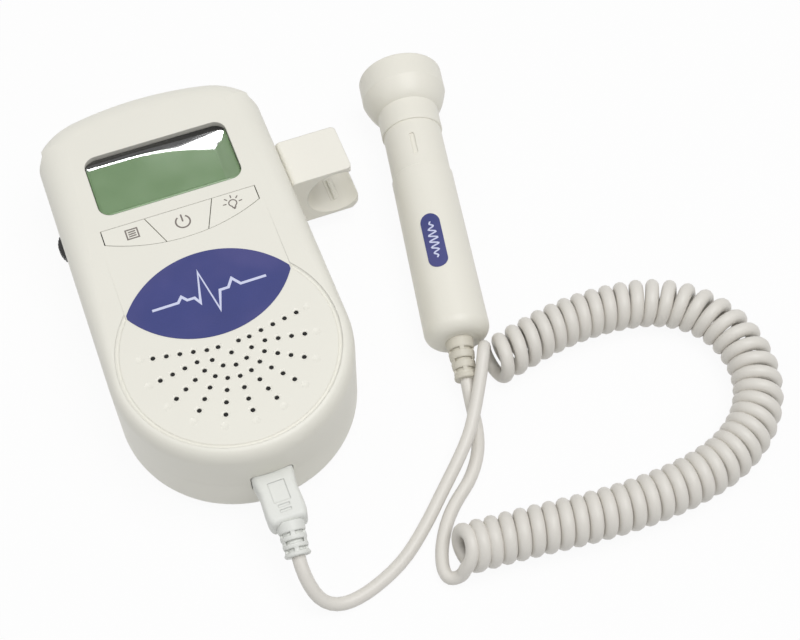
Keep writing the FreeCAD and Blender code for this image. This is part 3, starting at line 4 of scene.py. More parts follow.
import bmesh
import bpy
import numpy as np
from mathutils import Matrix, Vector


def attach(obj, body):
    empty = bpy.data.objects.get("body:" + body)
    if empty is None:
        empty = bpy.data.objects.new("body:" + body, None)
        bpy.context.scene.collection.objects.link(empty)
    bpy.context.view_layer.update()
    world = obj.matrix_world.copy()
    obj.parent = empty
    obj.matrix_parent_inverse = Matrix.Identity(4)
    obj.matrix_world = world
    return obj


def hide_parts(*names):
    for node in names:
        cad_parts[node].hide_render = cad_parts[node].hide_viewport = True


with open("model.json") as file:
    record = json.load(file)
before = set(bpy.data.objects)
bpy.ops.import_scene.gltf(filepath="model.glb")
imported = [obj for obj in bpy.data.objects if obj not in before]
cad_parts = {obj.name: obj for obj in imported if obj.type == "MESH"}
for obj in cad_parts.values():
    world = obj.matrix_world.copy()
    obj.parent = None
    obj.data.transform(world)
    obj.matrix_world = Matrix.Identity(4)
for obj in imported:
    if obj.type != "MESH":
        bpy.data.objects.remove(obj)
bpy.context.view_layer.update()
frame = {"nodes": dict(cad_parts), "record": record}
nodes = frame["nodes"]
mm = 0.001
print("frame loaded,", len(nodes), "nodes")

# Places and lengths are in mm. The origin is on the floor under the loudspeaker, +Y points to the
# display, +X to the clip and +Z up.


# view and light

viewValues = {
    "place": (-31.85, -222.46, 419.81),
    "aim": (56.48, 9.70, 0.0),
    "lens": 69.075,
    "sensor": 36.0,
    "floorSize": 3000.0,
    "floorTone": 0.80,
    "floorRoughness": 0.9,
    "floorGloss": 0.1,
    "floorGlow": 0.93,          # share of plain white that the camera sees in the floor
    "skyStrength": 0.40,
    "topLamp": {"place": (250.0, -120.0, 1000.0), "size": 700.0, "power": 6.2},
    "sideLamp": {"place": (-500.0, 250.0, 800.0), "size": 600.0, "power": 1.2},
    # these two are seen in the gloss of the display window only
    "windowAim": (0.0, 67.0, 35.0),
    "windowStrip": {"place": (20.0, 800.0, 700.0), "size": 360.0, "tall": 130.0, "power": 9.0, "roll": -40.0},
    "windowCard": {"place": (280.0, 800.0, 462.0), "size": 300.0, "tall": 440.0, "power": 17.5, "roll": 0.0},
}


def aimAt(thing, place, aim):
    thing.location = Vector(place) * mm
    thing.rotation_euler = (Vector(aim) - Vector(place)).to_track_quat("-Z", "Y").to_euler()


def makeCamera(values):
    lens = bpy.data.cameras.new("camera")
    lens.lens = values["lens"]
    lens.sensor_width = values["sensor"]
    lens.clip_start = 0.01
    camera = bpy.data.objects.new("camera", lens)
    bpy.context.scene.collection.objects.link(camera)
    aimAt(camera, values["place"], values["aim"])
    bpy.context.scene.camera = camera


def makeLamp(name, values, aim):
    light = bpy.data.lights.new(name, "AREA")
    light.size = values["size"] * mm
    light.energy = values["power"]
    if "tall" in values:             # a strip that is seen in gloss only
        light.shape = "RECTANGLE"
        light.size_y = values["tall"] * mm
    lamp = bpy.data.objects.new(name, light)
    lamp.visible_diffuse = "tall" not in values
    bpy.context.scene.collection.objects.link(lamp)
    aimAt(lamp, values["place"], aim)
    if "tall" in values:
        lamp.rotation_euler.rotate_axis("Z", math.radians(values["roll"]))
    return lamp


def seenRays(tree):
    # 1 for what the camera sees, straight or in gloss or glass
    path = tree.nodes.new("ShaderNodeLightPath")
    total = path.outputs["Is Camera Ray"]
    for kind in ("Is Glossy Ray", "Is Transmission Ray"):
        either = tree.nodes.new("ShaderNodeMath")
        either.operation = "MAXIMUM"
        tree.links.new(total, either.inputs[0])
        tree.links.new(path.outputs[kind], either.inputs[1])
        total = either.outputs[0]
    return total


def makeWorld(values):
    world = bpy.data.worlds.new("studio")
    world.use_nodes = True
    bpy.context.scene.world = world
    tree = world.node_tree
    back = tree.nodes["Background"]
    back.inputs["Color"].default_value = (1.0, 1.0, 1.0, 1.0)
    pick = tree.nodes.new("ShaderNodeMix")
    pick.inputs["A"].default_value = values["skyStrength"]
    pick.inputs["B"].default_value = 1.0
    tree.links.new(seenRays(tree), pick.inputs["Factor"])
    tree.links.new(pick.outputs["Result"], back.inputs["Strength"])


def makeFloor(values):
    half = values["floorSize"] * mm / 2
    mesh = bpy.data.meshes.new("floor")
    corners = [(-half, -half, 0), (half, -half, 0), (half, half, 0), (-half, half, 0)]
    mesh.from_pydata(corners, [], [(0, 1, 2, 3)])
    floor = bpy.data.objects.new("floor", mesh)
    bpy.context.scene.collection.objects.link(floor)
    material = bpy.data.materials.new("paleFloor")
    material.use_nodes = True
    tree = material.node_tree
    shader = tree.nodes["Principled BSDF"]
    tone = values["floorTone"]
    shader.inputs["Base Color"].default_value = (tone, tone, tone, 1.0)
    shader.inputs["Roughness"].default_value = values["floorRoughness"]
    shader.inputs["Specular IOR Level"].default_value = values["floorGloss"]
    glow = tree.nodes.new("ShaderNodeEmission")
    share = tree.nodes.new("ShaderNodeMath")
    share.operation = "MULTIPLY"
    share.inputs[1].default_value = values["floorGlow"]
    blend = tree.nodes.new("ShaderNodeMixShader")
    tree.links.new(seenRays(tree), share.inputs[0])
    tree.links.new(share.outputs[0], blend.inputs[0])
    tree.links.new(shader.outputs[0], blend.inputs[1])
    tree.links.new(glow.outputs[0], blend.inputs[2])
    tree.links.new(blend.outputs[0], tree.nodes["Material Output"].inputs["Surface"])
    mesh.materials.append(material)


makeCamera(viewValues)
makeWorld(viewValues)
makeFloor(viewValues)
for lampName in ("topLamp", "sideLamp"):
    makeLamp(lampName, viewValues[lampName], viewValues["aim"])
windowLamps = [makeLamp(lampName, viewValues[lampName], viewValues["windowAim"])
               for lampName in ("windowStrip", "windowCard")]
bpy.context.scene.view_settings.view_transform = "Standard"
print("view and light")


# helpers for meshes

def newPiece(name, mesh, body):
    piece = bpy.data.objects.new(name, mesh)
    bpy.context.scene.collection.objects.link(piece)
    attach(piece, body)
    return piece


def splineLine(points, steps=12):
    # the smooth line of a NURBS spline through its hull, in mm, read from a curve with no thickness
    curve = makeSpline("lineGuide", points, steps)
    guide = bpy.data.objects.new("lineGuide", curve)
    bpy.context.scene.collection.objects.link(guide)
    bpy.context.view_layer.update()
    mesh = bpy.data.meshes.new_from_object(guide)
    line = np.empty(len(mesh.vertices) * 3)
    mesh.vertices.foreach_get("co", line)
    bpy.data.objects.remove(guide)
    bpy.data.meshes.remove(mesh)
    bpy.data.curves.remove(curve)
    return line.reshape(-1, 3) / mm


def makeSpline(name, points, steps):
    curve = bpy.data.curves.new(name, "CURVE")
    curve.dimensions = "3D"
    spline = curve.splines.new("NURBS")
    spline.points.add(len(points) - 1)
    hull = np.ones((len(points), 4))
    hull[:, :3] = np.asarray(points) * mm
    spline.points.foreach_set("co", hull.ravel())
    spline.order_u = 3
    spline.use_endpoint_u = True
    spline.resolution_u = steps
    return curve


# cord: a straight tail from the unit's plug, the curly part, and a tail into the probe

cordValues = {
    "diameter": 4.0,
    "curlyDiameter": 4.32,
    "turns": 47.075,
    "turnRadius": 5.45,          # from the curly part's axis to the middle of the cord
    "pointsPerTurn": 14,
    "firstAngle": 20.0,          # degrees above the floor, on the side away from the unit
    "pitch": 4.35,
    # turns further apart: how much, how far along the axis, over what distance
    "wider": ((0.9, 80.0, 30.0), (0.95, 0.0, 20.0), (0.75, 222.0, 9.0)),
    "lean": (-10.0, 6.0),        # how far the turns at the two ends stand off square, in degrees
    "leanSpan": (25.0, 9.0),
    "tip": (0.0, 26.0),          # and how far their tops lean back from the end
    "tipSpan": (10.0, 6.0),
    "steps": 3,
    "bevelSteps": 4,
    "unitTail": [                # from the unit's plug to the curly part's first turn
        (-0.75, -60.4, 14.6), (-1.12, -64.6, 13.3), (0.6, -71.0, 7.4), (4.6, -73.6, 3.6), (10.6, -73.9, 2.0),
        (19.0, -71.8, 2.0), (28.8, -67.3, 2.0), (38.0, -59.8, 2.2), (46.4, -51.8, 3.2), (54.0, -45.2, 6.0),
        (60.6, -38.4, 7.3), (65.6, -30.8, 8.8), (69.6, -24.2, 11.2), (72.4, -19.2, 13.3), (73.7, -16.6, 13.4),
        (74.7, -14.7, 12.1),
    ],
    "axis": [                    # the middle of the curly part
        (75.6, -19.2, 7.65), (88.6, -16.0, 7.65), (102.0, -13.6, 7.65), (116.0, -13.6, 7.65),
        (129.4, -15.8, 7.65), (140.4, -21.4, 7.65), (148.2, -31.2, 7.65), (150.9, -43.6, 7.65),
        (148.6, -56.0, 7.65), (141.2, -66.3, 7.65), (129.6, -73.4, 7.65), (115.6, -76.5, 7.65),
        (101.0, -77.4, 7.65), (86.4, -76.8, 7.65), (72.0, -75.2, 7.65), (58.6, -73.6, 7.65),
        (43.3, -72.3, 7.65),
    ],
    "probeTail": [               # from the probe to the curly part's last turn
        (66.1, -21.9, 8.3), (65.43, -25.2, 7.88), (65.0, -30.0, 4.0), (64.2, -36.4, 2.0), (61.4, -43.6, 2.0),
        (56.0, -50.6, 2.0), (49.6, -55.3, 2.0), (44.4, -60.6, 2.0), (40.6, -66.6, 2.05), (38.8, -70.8, 2.1),
        (37.9, -74.4, 2.1), (38.4, -77.2, 2.2), (40.6, -78.2, 3.0), (42.4, -78.3, 4.9),
    ],
}


def curlyPoints(values):
    # A point of the helix is the axis point at its distance, plus the turn radius along a direction
    # that swings from the level side vector to straight up and on as the angle falls.
    line = splineLine(values["axis"])
    runs = np.linalg.norm(np.diff(line, axis=0), axis=1)
    along = np.concatenate([[0.0], np.cumsum(runs)])
    pitch = values["pitch"] + sum(much * np.exp(-((along - place) / span) ** 2)
                                  for much, place, span in values["wider"])
    turnsAt = np.concatenate([[0.0], np.cumsum(runs / (0.5 * (pitch[1:] + pitch[:-1])))])
    turnsAt *= values["turns"] / turnsAt[-1]
    perTurn = values["pointsPerTurn"]
    turn = np.arange(0.0, values["turns"], 1.0 / perTurn)
    distance = np.interp(turn, turnsAt, along)
    centre = np.stack([np.interp(distance, along, line[:, k]) for k in range(3)], axis=1)
    ahead = np.stack([np.interp(distance, along, np.gradient(line[:, k], along)) for k in range(2)])
    heading = np.arctan2(ahead[1], ahead[0])
    tip = np.zeros(len(turn))
    for end, reach in enumerate((distance, along[-1] - distance)):
        leanShare = np.exp(-(reach / values["leanSpan"][end]) ** 2)
        tipShare = np.exp(-(reach / values["tipSpan"][end]) ** 2)
        heading = heading + math.radians(values["lean"][end]) * leanShare
        tip = tip + math.radians(values["tip"][end]) * tipShare
    side = np.stack([-np.sin(heading), np.cos(heading), np.zeros(len(turn))], axis=1)
    lift = np.stack([-np.sin(tip) * np.cos(heading), -np.sin(tip) * np.sin(heading), np.cos(tip)], axis=1)
    angle = math.radians(values["firstAngle"]) - 2 * math.pi * turn
    hullRadius = values["turnRadius"] / math.cos(math.pi / perTurn)
    return centre + hullRadius * (np.cos(angle)[:, None] * side + np.sin(angle)[:, None] * lift)


def makeCord(values):
    curly = curlyPoints(values).tolist()
    points = values["unitTail"] + curly + values["probeTail"][::-1]
    curve = makeSpline("cord", points, values["steps"])
    curve.bevel_depth = 1.0          # times each point's radius
    number = np.arange(len(points)) - len(values["unitTail"])
    inside = np.clip(np.minimum(number, len(curly) - number) / values["pointsPerTurn"], 0.0, 1.0)
    thick = values["diameter"] + (values["curlyDiameter"] - values["diameter"]) * inside
    curve.splines[0].points.foreach_set("radius", thick / 2 * mm)
    curve.bevel_resolution = values["bevelSteps"]
    curve.use_fill_caps = True
    piece = newPiece("cord", curve, "unit")
    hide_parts("cord_tail_unit", "curly_cord", "cord_tail_probe")
    line = splineLine(points, values["steps"])
    return piece


cordPiece = makeCord(cordValues)
print("cord")


# surfaces and marks worked out with numpy

mergeDistance = 0.002


def gridQuads(rows, columns, ring=False, start=0):
    # corner numbers of the faces of a grid of points; with ring the last column joins the first
    index = start + np.arange(rows * columns).reshape(rows, columns)
    if ring:
        index = np.concatenate([index, index[:, :1]], axis=1)
    quads = np.stack([index[:-1, :-1], index[:-1, 1:], index[1:, 1:], index[1:, :-1]], axis=-1)
    return quads.reshape(-1, 4)


def pointMesh(name, points, quads):
    mesh = bpy.data.meshes.new(name)
    mesh.from_pydata((points.reshape(-1, 3) * mm).tolist(), [], quads.tolist())
    return mesh


def gridMesh(name, grid, ring=False):
    return pointMesh(name, grid, gridQuads(*grid.shape[:2], ring))


def closeMesh(mesh, smooth=True, solid=True):
    # poles and seams are merged, and every face of a solid is turned outwards
    work = bmesh.new()
    work.from_mesh(mesh)
    bmesh.ops.remove_doubles(work, verts=work.verts, dist=mergeDistance * mm)
    if solid:
        bmesh.ops.recalc_face_normals(work, faces=work.faces)
    work.to_mesh(mesh)
    work.free()
    if smooth:
        mesh.shade_smooth()
    return mesh


def polar(radius, turn):
    return np.stack([radius * np.cos(turn), radius * np.sin(turn)], axis=-1)


def strokeGrid(line, width, height, loop=False):
    # A stroke printed on a surface: a low ribbon along a line of points in the XY plane. Each row of
    # the grid is a rectangle, half the width to either side of the line and the height above it. A
    # corner is mitred, and a sharp one reaches out to 2.5 times half the width at most.
    line = np.asarray(line, dtype=float)
    if loop:
        ahead = np.roll(line, -1, axis=0) - line
        behind = line - np.roll(line, 1, axis=0)
    else:
        ahead = np.concatenate([line[1:] - line[:-1], line[-1:] - line[-2:-1]])
        behind = np.concatenate([line[1:2] - line[:1], line[1:] - line[:-1]])
    ahead /= np.linalg.norm(ahead, axis=1)[:, None]
    behind /= np.linalg.norm(behind, axis=1)[:, None]
    along = ahead + behind
    along /= np.linalg.norm(along, axis=1)[:, None]
    reach = width / 2 / np.maximum((along * ahead).sum(axis=1), 0.4)
    side = np.stack([-along[:, 1], along[:, 0], np.zeros(len(line))], axis=1) * reach[:, None]
    up = np.array([0.0, 0.0, height])
    rows = np.stack([line - side, line + side, line + side + up, line - side + up], axis=1)
    if loop:
        return np.concatenate([rows, rows[:1]])
    ends = [row.mean(axis=1, keepdims=True).repeat(4, axis=1) for row in (rows[:1], rows[-1:])]
    return np.concatenate([ends[0], rows, ends[1]])


def makeMark(name, body, strokes, width, height, shape=None):
    # joins strokes into one piece; shape, if given, carries the flat strokes onto another surface
    grids = [strokeGrid(line, width, height, loop) for line, loop in strokes]
    if shape:
        grids = [shape(grid) for grid in grids]
    starts = np.cumsum([0] + [grid.shape[0] * grid.shape[1] for grid in grids[:-1]])
    quads = [gridQuads(*grid.shape[:2], ring=True, start=start) for grid, start in zip(grids, starts)]
    points = np.concatenate([grid.reshape(-1, 3) for grid in grids])
    mesh = pointMesh(name, points, np.concatenate(quads))
    return newPiece(name, closeMesh(mesh, smooth=False), body)


def arc(centre, radius, start, end, steps, z):
    angle = np.radians(np.linspace(start, end, steps))
    return np.stack([centre[0] + radius * np.cos(angle), centre[1] + radius * np.sin(angle),
                     np.full(steps, z)], axis=1)


def path(z, *points):
    return np.array([(x, y, z) for x, y in points])


# key icons, printed on the three keys

iconValues = {
    "surface": 34.95,            # the keys' top
    "print": 0.035,
    "stroke": 0.46,
    "list": {"centre": (-15.55, 47.3), "half": (1.78, 1.66), "rows": (0.8, 0.0, -0.8), "row": 1.15,
             "tilt": 0.06},
    "power": {"centre": (0.02, 46.15), "radius": 2.2, "gap": 33.0, "bar": (2.7, 0.05), "stroke": 0.50,
              "steps": 40},
    # neck: half its width and how far it lies under the centre; base: the same, but under the neck
    "lamp": {"centre": (16.2, 47.3), "radius": 1.22, "bulb": (-62.0, 242.0), "neck": (0.42, 1.72),
             "base": (0.336, 0.4), "ray": (1.95, 3.05), "rays": (90.0, 46.0, 4.0, 134.0, 176.0),
             "stroke": 0.38, "steps": 28},
}


def makeListIcon(values):
    z = values["surface"]
    icon = values["list"]
    cx, cy = icon["centre"]
    wide, tall = icon["half"]
    frameLine = path(z, (cx - wide, cy - tall), (cx + wide, cy - tall),
                     (cx + wide, cy + tall), (cx - wide, cy + tall))
    strokes = [(frameLine, True)]
    for row in icon["rows"]:
        ends = (cx - icon["row"], cy + row - icon["tilt"]), (cx + icon["row"], cy + row + icon["tilt"])
        strokes.append((path(z, *ends), False))
    return makeMark("menuIcon", "menu_key", strokes, values["stroke"], values["print"])


def makePowerIcon(values):
    z = values["surface"]
    icon = values["power"]
    cx, cy = icon["centre"]
    bow = arc(icon["centre"], icon["radius"], 90 + icon["gap"], 450 - icon["gap"], icon["steps"], z)
    bar = path(z, (cx, cy + icon["bar"][1]), (cx, cy + icon["bar"][0]))
    return makeMark("powerIcon", "power_key", [(bow, False), (bar, False)], icon["stroke"], values["print"])


def makeLampIcon(values):
    z = values["surface"]
    icon = values["lamp"]
    cx, cy = icon["centre"]
    neck, drop = icon["neck"]
    base, under = icon["base"]
    low = cy - drop
    bulb = arc(icon["centre"], icon["radius"], *icon["bulb"], icon["steps"], z)
    foot = path(z, (cx - neck, low), (cx + neck, low))
    strokes = [(np.concatenate([foot[1:], bulb, foot[:1]]), True),
               (path(z, (cx - base, low - under), (cx + base, low - under)), False)]
    near, far = icon["ray"]
    for turn in np.radians(icon["rays"]):
        strokes.append((path(z, (cx + near * math.cos(turn), cy + near * math.sin(turn)),
                             (cx + far * math.cos(turn), cy + far * math.sin(turn))), False))
    return makeMark("lampIcon", "light_key", strokes, icon["stroke"], values["print"])


iconPieces = [makeListIcon(iconValues), makePowerIcon(iconValues), makeLampIcon(iconValues)]
print("key icons")


# a plain pulse trace on the leaf-shaped label, and waves on the probe's label

traceValues = {
    "faceTop": 35.0,
    "panelDrop": 0.6,            # the sunk panel leans from the keys down to the speaker's rim
    "panelEnd": 46.6,
    "panelStart": -32.9,
    "film": 0.15,
    "sink": 0.005,               # how deep the print's underside lies in the film
    "print": 0.03,
    "stroke": 0.85,
    "middle": 18.9,
    "beat": ((-17.5, 0.0), (-9.6, 0.0), (-8.2, 1.7), (-6.8, 0.0), (-4.6, 0.0), (-3.4, -2.2), (-1.2, 8.2),
             (1.4, -6.4), (3.2, 0.0), (5.8, 0.0), (7.6, 2.7), (9.6, 0.0), (17.5, 0.0)),
}
waveValues = {
    "facePoint": (87.14, 90.78, 14.34),
    "along": (-0.1812, -0.9825, -0.0414),
    "radius": (10.0, 10.3),      # the grip's at its two ends
    "reach": (41.5, 102.2),
    "turn": 12.0,                # degrees from the top towards the unit
    "film": 0.15,
    "sink": 0.005,
    "print": 0.03,
    "stroke": 0.5,
    "middle": 70.6,
    "swing": 1.35,
    "waves": 2.9,                # in radians per mm
    "fade": 0.7,                 # lower keeps the swing wide for longer towards the ends
    "half": 6.6,
    "points": 61,
}


def panelHeight(y, values):
    share = (values["panelEnd"] - y) / (values["panelEnd"] - values["panelStart"])
    return values["faceTop"] - values["panelDrop"] * share


def makePulse(values):
    line = path(0.0, *values["beat"])
    line[:, 1] += values["middle"]

    def ontoPanel(grid):
        grid = grid.copy()
        grid[..., 2] += panelHeight(grid[..., 1], values) + values["film"] - values["sink"]
        return grid

    return makeMark("pulseTrace", "unit", [(line, False)], values["stroke"], values["print"], ontoPanel)


def probeAxes(values):
    along = np.array(values["along"])
    along /= np.linalg.norm(along)
    across = np.cross((0.0, 0.0, 1.0), along)
    across /= np.linalg.norm(across)
    return np.array(values["facePoint"]), along, np.cross(along, across)


def makeWave(values):
    # The wave is drawn flat, x along the probe and y round it, then wrapped: a point stands the
    # grip's radius from the axis, turned from the top by its distance round over that radius.
    place = np.linspace(-values["half"], values["half"], values["points"])
    fade = np.cos(place / values["half"] * math.pi / 2) ** values["fade"]
    swing = values["swing"] * fade * np.sin(place * values["waves"])
    line = np.stack([place + values["middle"], swing, np.zeros(values["points"])], axis=1)
    start, along, up = probeAxes(values)
    side = np.cross(along, up)

    def ontoGrip(grid):
        low, high = values["radius"]
        share = (grid[..., 0] - values["reach"][0]) / (values["reach"][1] - values["reach"][0])
        radius = low + (high - low) * share
        turn = math.radians(values["turn"]) + grid[..., 1] / radius
        radius = radius + values["film"] - values["sink"] + grid[..., 2]
        return (start + grid[..., :1] * along + (radius * np.cos(turn))[..., None] * up
                + (radius * np.sin(turn))[..., None] * side)

    return makeMark("waveMark", "unit", [(line, False)], values["stroke"], values["print"], ontoGrip)


pulsePiece = makePulse(traceValues)
wavePiece = makeWave(waveValues)
print("marks on the labels")


# display window: a pillowed cap over the display, which carries the display's colours on its own surface

windowValues = {
    "half": 22.62,
    "low": 56.17,
    "high": 79.03,
    "corner": 4.0,
    "leastCorner": 0.2,
    "top": 34.85,
    "skirt": 30.9,               # the cap's lower edge
    "farDrop": 1.7,              # how far the cap falls away at its far edge
    "farMargin": 4.7,            # over what width, at the left
    "farWiden": (0.0085, 9.0),   # and how it widens to the right: a share of the square of x plus 9
    "rightDrop": 1.1,
    "rightMargin": 5.5,
    "edgeDrop": 0.25,            # a small round along the other two edges
    "edgeMargin": 0.8,
    "spine": 0.25,               # how far the last ring stays from the cap's middle line
    "rings": 40,
    "around": 200,
}


def roundedLoop(values, inset, count):
    # the window's outline drawn in by an inset, each corner as a quarter circle; each of the four
    # corners and four sides has an eighth of the points
    halfX = values["half"] - inset
    halfY = (values["high"] - values["low"]) / 2 - inset
    corner = max(values["corner"] - inset, values["leastCorner"])
    middle = (values["high"] + values["low"]) / 2
    steps = count // 8
    rows = []
    for quarter, (sx, sy) in enumerate(((1, 1), (-1, 1), (-1, -1), (1, -1))):
        turn = np.radians(np.linspace(90.0 * quarter, 90.0 * quarter + 90.0, steps))
        rows.append(np.stack([sx * (halfX - corner) + corner * np.cos(turn),
                              middle + sy * (halfY - corner) + corner * np.sin(turn)], axis=1))
    bends = np.stack(rows)
    runs = np.linspace(0.0, 1.0, steps + 2)[1:-1, None]
    straights = bends[:, -1:] + (np.roll(bends, -1, axis=0)[:, :1] - bends[:, -1:]) * runs[None]
    return np.stack([bends, straights], axis=1).reshape(-1, 2)


def capFall(x, y, values):
    # how far the cap lies below its top: at each edge a drop times the square of how far the place
    # lies out over that edge's margin, and of the four edges the one that falls furthest counts
    widen, start = values["farWiden"]
    far = values["farMargin"] + widen * np.maximum(x + start, 0.0) ** 2
    falls = [
        values["farDrop"] * np.clip(1.0 - (values["high"] - y) / far, 0.0, 1.0) ** 2,
        values["rightDrop"] * np.clip(1.0 - (values["half"] - x) / values["rightMargin"], 0.0, 1.0) ** 2,
        values["edgeDrop"] * np.clip(1.0 - (x + values["half"]) / values["edgeMargin"], 0.0, 1.0) ** 2,
        values["edgeDrop"] * np.clip(1.0 - (y - values["low"]) / values["edgeMargin"], 0.0, 1.0) ** 2,
    ]
    return np.max(falls, axis=0)


def makeWindow(values):
    # rings from the cap's skirt in to its middle, each a smaller outline, lying at the cap's height
    middle = (values["high"] + values["low"]) / 2
    insets = np.linspace(0.0, values["high"] - middle - values["spine"], values["rings"])
    loops = np.stack([roundedLoop(values, inset, values["around"]) for inset in insets])
    height = values["top"] - capFall(loops[..., 0], loops[..., 1], values)
    rings = np.concatenate([loops, height[..., None]], axis=-1)
    skirt = rings[:1] * (1.0, 1.0, 0.0) + (0.0, 0.0, values["skirt"])
    spine = rings[-1:].copy()
    spine[..., 1] = middle
    mesh = closeMesh(gridMesh("displayCap", np.concatenate([skirt, rings, spine]), ring=True))
    piece = newPiece("displayCap", mesh, "unit")
    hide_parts("display_lens")
    return piece


windowPiece = makeWindow(windowValues)
glossTargets = bpy.data.collections.new("displayGloss")
glossTargets.objects.link(windowPiece)
for lamp in windowLamps:
    lamp.light_linking.receiver_collection = glossTargets
print("display window")


# the rib in the clip's bore, which finds the slot in the probe's collar

ribValues = {
    "x": 51.2,
    "from": 55.6,
    "to": 63.8,
    "foot": 1.52,                # half the width of the foot
    "half": 0.4,                 # half the width of the ridge
    "height": 0.8,
    "axisX": 50.7,               # the bore's axis and radius
    "axisZ": 17.8,
    "bore": 9.8,
    "film": 0.03,                # how far the foot stands out of the bore
    "deep": 0.3,                 # and how far it reaches in
    "ease": 14.0,                # the ridge rises over the length divided by this
    "rows": 25,
    "ridgePoints": 15,
}


def makeRib(values):
    # Across the rib: a foot that lies on the bore over its whole width, and in its middle a ridge, the
    # height times the root of one minus the square of the place over half the ridge's width, easing
    # off at both ends. The underside follows the bore a little deeper.
    along = np.linspace(0.0, 1.0, values["rows"])
    ease = np.clip(np.minimum(along, 1.0 - along) * values["ease"], 0.0, 1.0) ** 0.5
    turn = np.linspace(-math.pi / 2, math.pi / 2, values["ridgePoints"])
    ridge = values["half"] * np.sin(turn)
    across = np.concatenate([[-values["foot"]], ridge, [values["foot"]]])
    rise = values["height"] * np.concatenate([[0.0], np.cos(turn), [0.0]])
    x = values["x"] + across
    bed = values["axisZ"] - np.sqrt((values["bore"] - values["film"]) ** 2 - (x - values["axisX"]) ** 2)
    top = bed[None, :] + rise[None, :] * ease[:, None]
    under = values["axisZ"] - np.sqrt((values["bore"] + values["deep"]) ** 2 - (x - values["axisX"]) ** 2)
    z = np.concatenate([top, np.broadcast_to(under[::-1], top.shape)], axis=1)
    loop = np.concatenate([x, x[::-1]])
    y = values["from"] + (values["to"] - values["from"]) * along
    grid = np.stack([np.broadcast_to(loop, z.shape), np.broadcast_to(y[:, None], z.shape), z], axis=-1)
    ends = grid[[0, -1]].mean(axis=1, keepdims=True).repeat(grid.shape[1], axis=1)
    grid = np.concatenate([ends[:1], grid, ends[1:]])
    return newPiece("clipRib", closeMesh(gridMesh("clipRib", grid, ring=True), smooth=False), "unit")


ribPiece = makeRib(ribValues)
print("clip rib")


# black cloth set high in the grille's holes: the real black cloth lies under the wall, and set this close
# under the panel it also paints the shade of the holes' white walls

grilleValues = {
    "rows": (10.4, 14.3, 18.2, 22.1),
    "raysEachSide": 5,
    "rayAngle": 20.0,
    "ringRadius": 6.5,
    "ringAngle": 33.0,
    "ringEachSide": 3,
    "coreRadius": 3.2,
    "coreAngle": 105.0,
    "coreLow": -2.2,
    "hole": 0.69,
    "below": 0.55,               # how far the cloth lies under the panel; this high in the holes it paints the shade of their walls
    "sag": 0.1,
    "capRings": 4,
    "capPoints": 12,
}


def fan(eachSide, step):
    # directions spread evenly to both sides of straight down
    return np.radians(-90 + np.arange(-eachSide, eachSide + 1) * step)


def grillePlaces(values):
    rays = fan(values["raysEachSide"], values["rayAngle"])
    outer = polar(np.array(values["rows"])[None], rays[:, None]).reshape(-1, 2)
    inner = polar(values["ringRadius"], fan(values["ringEachSide"], values["ringAngle"]))
    core = np.radians(-90 + np.array((-1, 1)) * values["coreAngle"])
    return np.concatenate([outer, inner, polar(values["coreRadius"], core), [(0.0, values["coreLow"])]])


def makeGrilleShadeCloth(values, panel):
    # at each hole a shallow cap: rings of the hole's radius times r, rising by the sag times r squared
    places = grillePlaces(values)
    around = np.linspace(0.0, 2 * math.pi, values["capPoints"] + 1)[:-1]
    r, turn = np.meshgrid(np.linspace(0.0, 1.0, values["capRings"]), around, indexing="ij")
    flat = places[:, None, None, :] + values["hole"] * polar(r, turn)[None]
    height = panelHeight(flat[..., 1], panel) - values["below"] + values["sag"] * r[None] ** 2
    grid = np.concatenate([flat, height[..., None]], axis=-1)
    # the faces look up, which is the other way round than a grid's own
    quads = np.roll(gridQuads(*grid.shape[1:3], ring=True)[:, ::-1], 1, axis=1)
    starts = np.arange(len(places)) * grid.shape[1] * grid.shape[2]
    every = (quads[None] + starts[:, None, None]).reshape(-1, 4)
    mesh = closeMesh(pointMesh("grilleShadeCloth", grid, every), smooth=False, solid=False)
    return newPiece("grilleShadeCloth", mesh, "unit")


grilleShadePiece = makeGrilleShadeCloth(grilleValues, traceValues)
print("grille cloth")


# effects that several finishes share

def newGroup(name, inputs, outputs):
    group = bpy.data.node_groups.new(name, "ShaderNodeTree")
    for label, kind, value in inputs:
        socket = group.interface.new_socket(label, in_out="INPUT", socket_type=kind)
        socket.default_value = value
    for label, kind in outputs:
        group.interface.new_socket(label, in_out="OUTPUT", socket_type=kind)
    return group, group.nodes.new("NodeGroupInput"), group.nodes.new("NodeGroupOutput")


def noiseNode(tree, place, scale, detail):
    noise = tree.nodes.new("ShaderNodeTexNoise")
    noise.inputs["Scale"].default_value = scale
    noise.inputs["Detail"].default_value = detail
    tree.links.new(place, noise.inputs["Vector"])
    return noise


def mathNode(tree, operation, first, second):
    node = tree.nodes.new("ShaderNodeMath")
    node.operation = operation
    for socket, value in zip(node.inputs, (first, second)):
        if isinstance(value, (int, float)):
            socket.default_value = value
        else:
            tree.links.new(value, socket)
    return node.outputs[0]


def mixColour(tree, kind, share, first, second):
    mix = tree.nodes.new("ShaderNodeMix")
    mix.data_type = "RGBA"
    mix.blend_type = kind
    for label, value in (("Factor", share), ("A", first), ("B", second)):
        socket = next(s for s in mix.inputs if s.name == label and s.enabled)
        if isinstance(value, (int, float)):
            socket.default_value = value
        elif isinstance(value, tuple):
            socket.default_value = (*value, 1.0)
        else:
            tree.links.new(value, socket)
    return next(s for s in mix.outputs if s.enabled)


def rampNode(tree, value, *stops):
    # a smooth step for a value: pairs of place and level
    ramp = tree.nodes.new("ShaderNodeMapRange")
    (fromMin, toMin), (fromMax, toMax) = stops
    ramp.interpolation_type = "SMOOTHSTEP"
    for label, number in (("From Min", fromMin), ("From Max", fromMax), ("To Min", toMin), ("To Max", toMax)):
        ramp.inputs[label].default_value = number
    tree.links.new(value, ramp.inputs["Value"])
    return ramp.outputs[0]


grainValues = {"cloudScale": 55.0, "cloudDetail": 3.0, "grainDetail": 2.0, "bumpDepth": 0.1, "edgeSamples": 6}


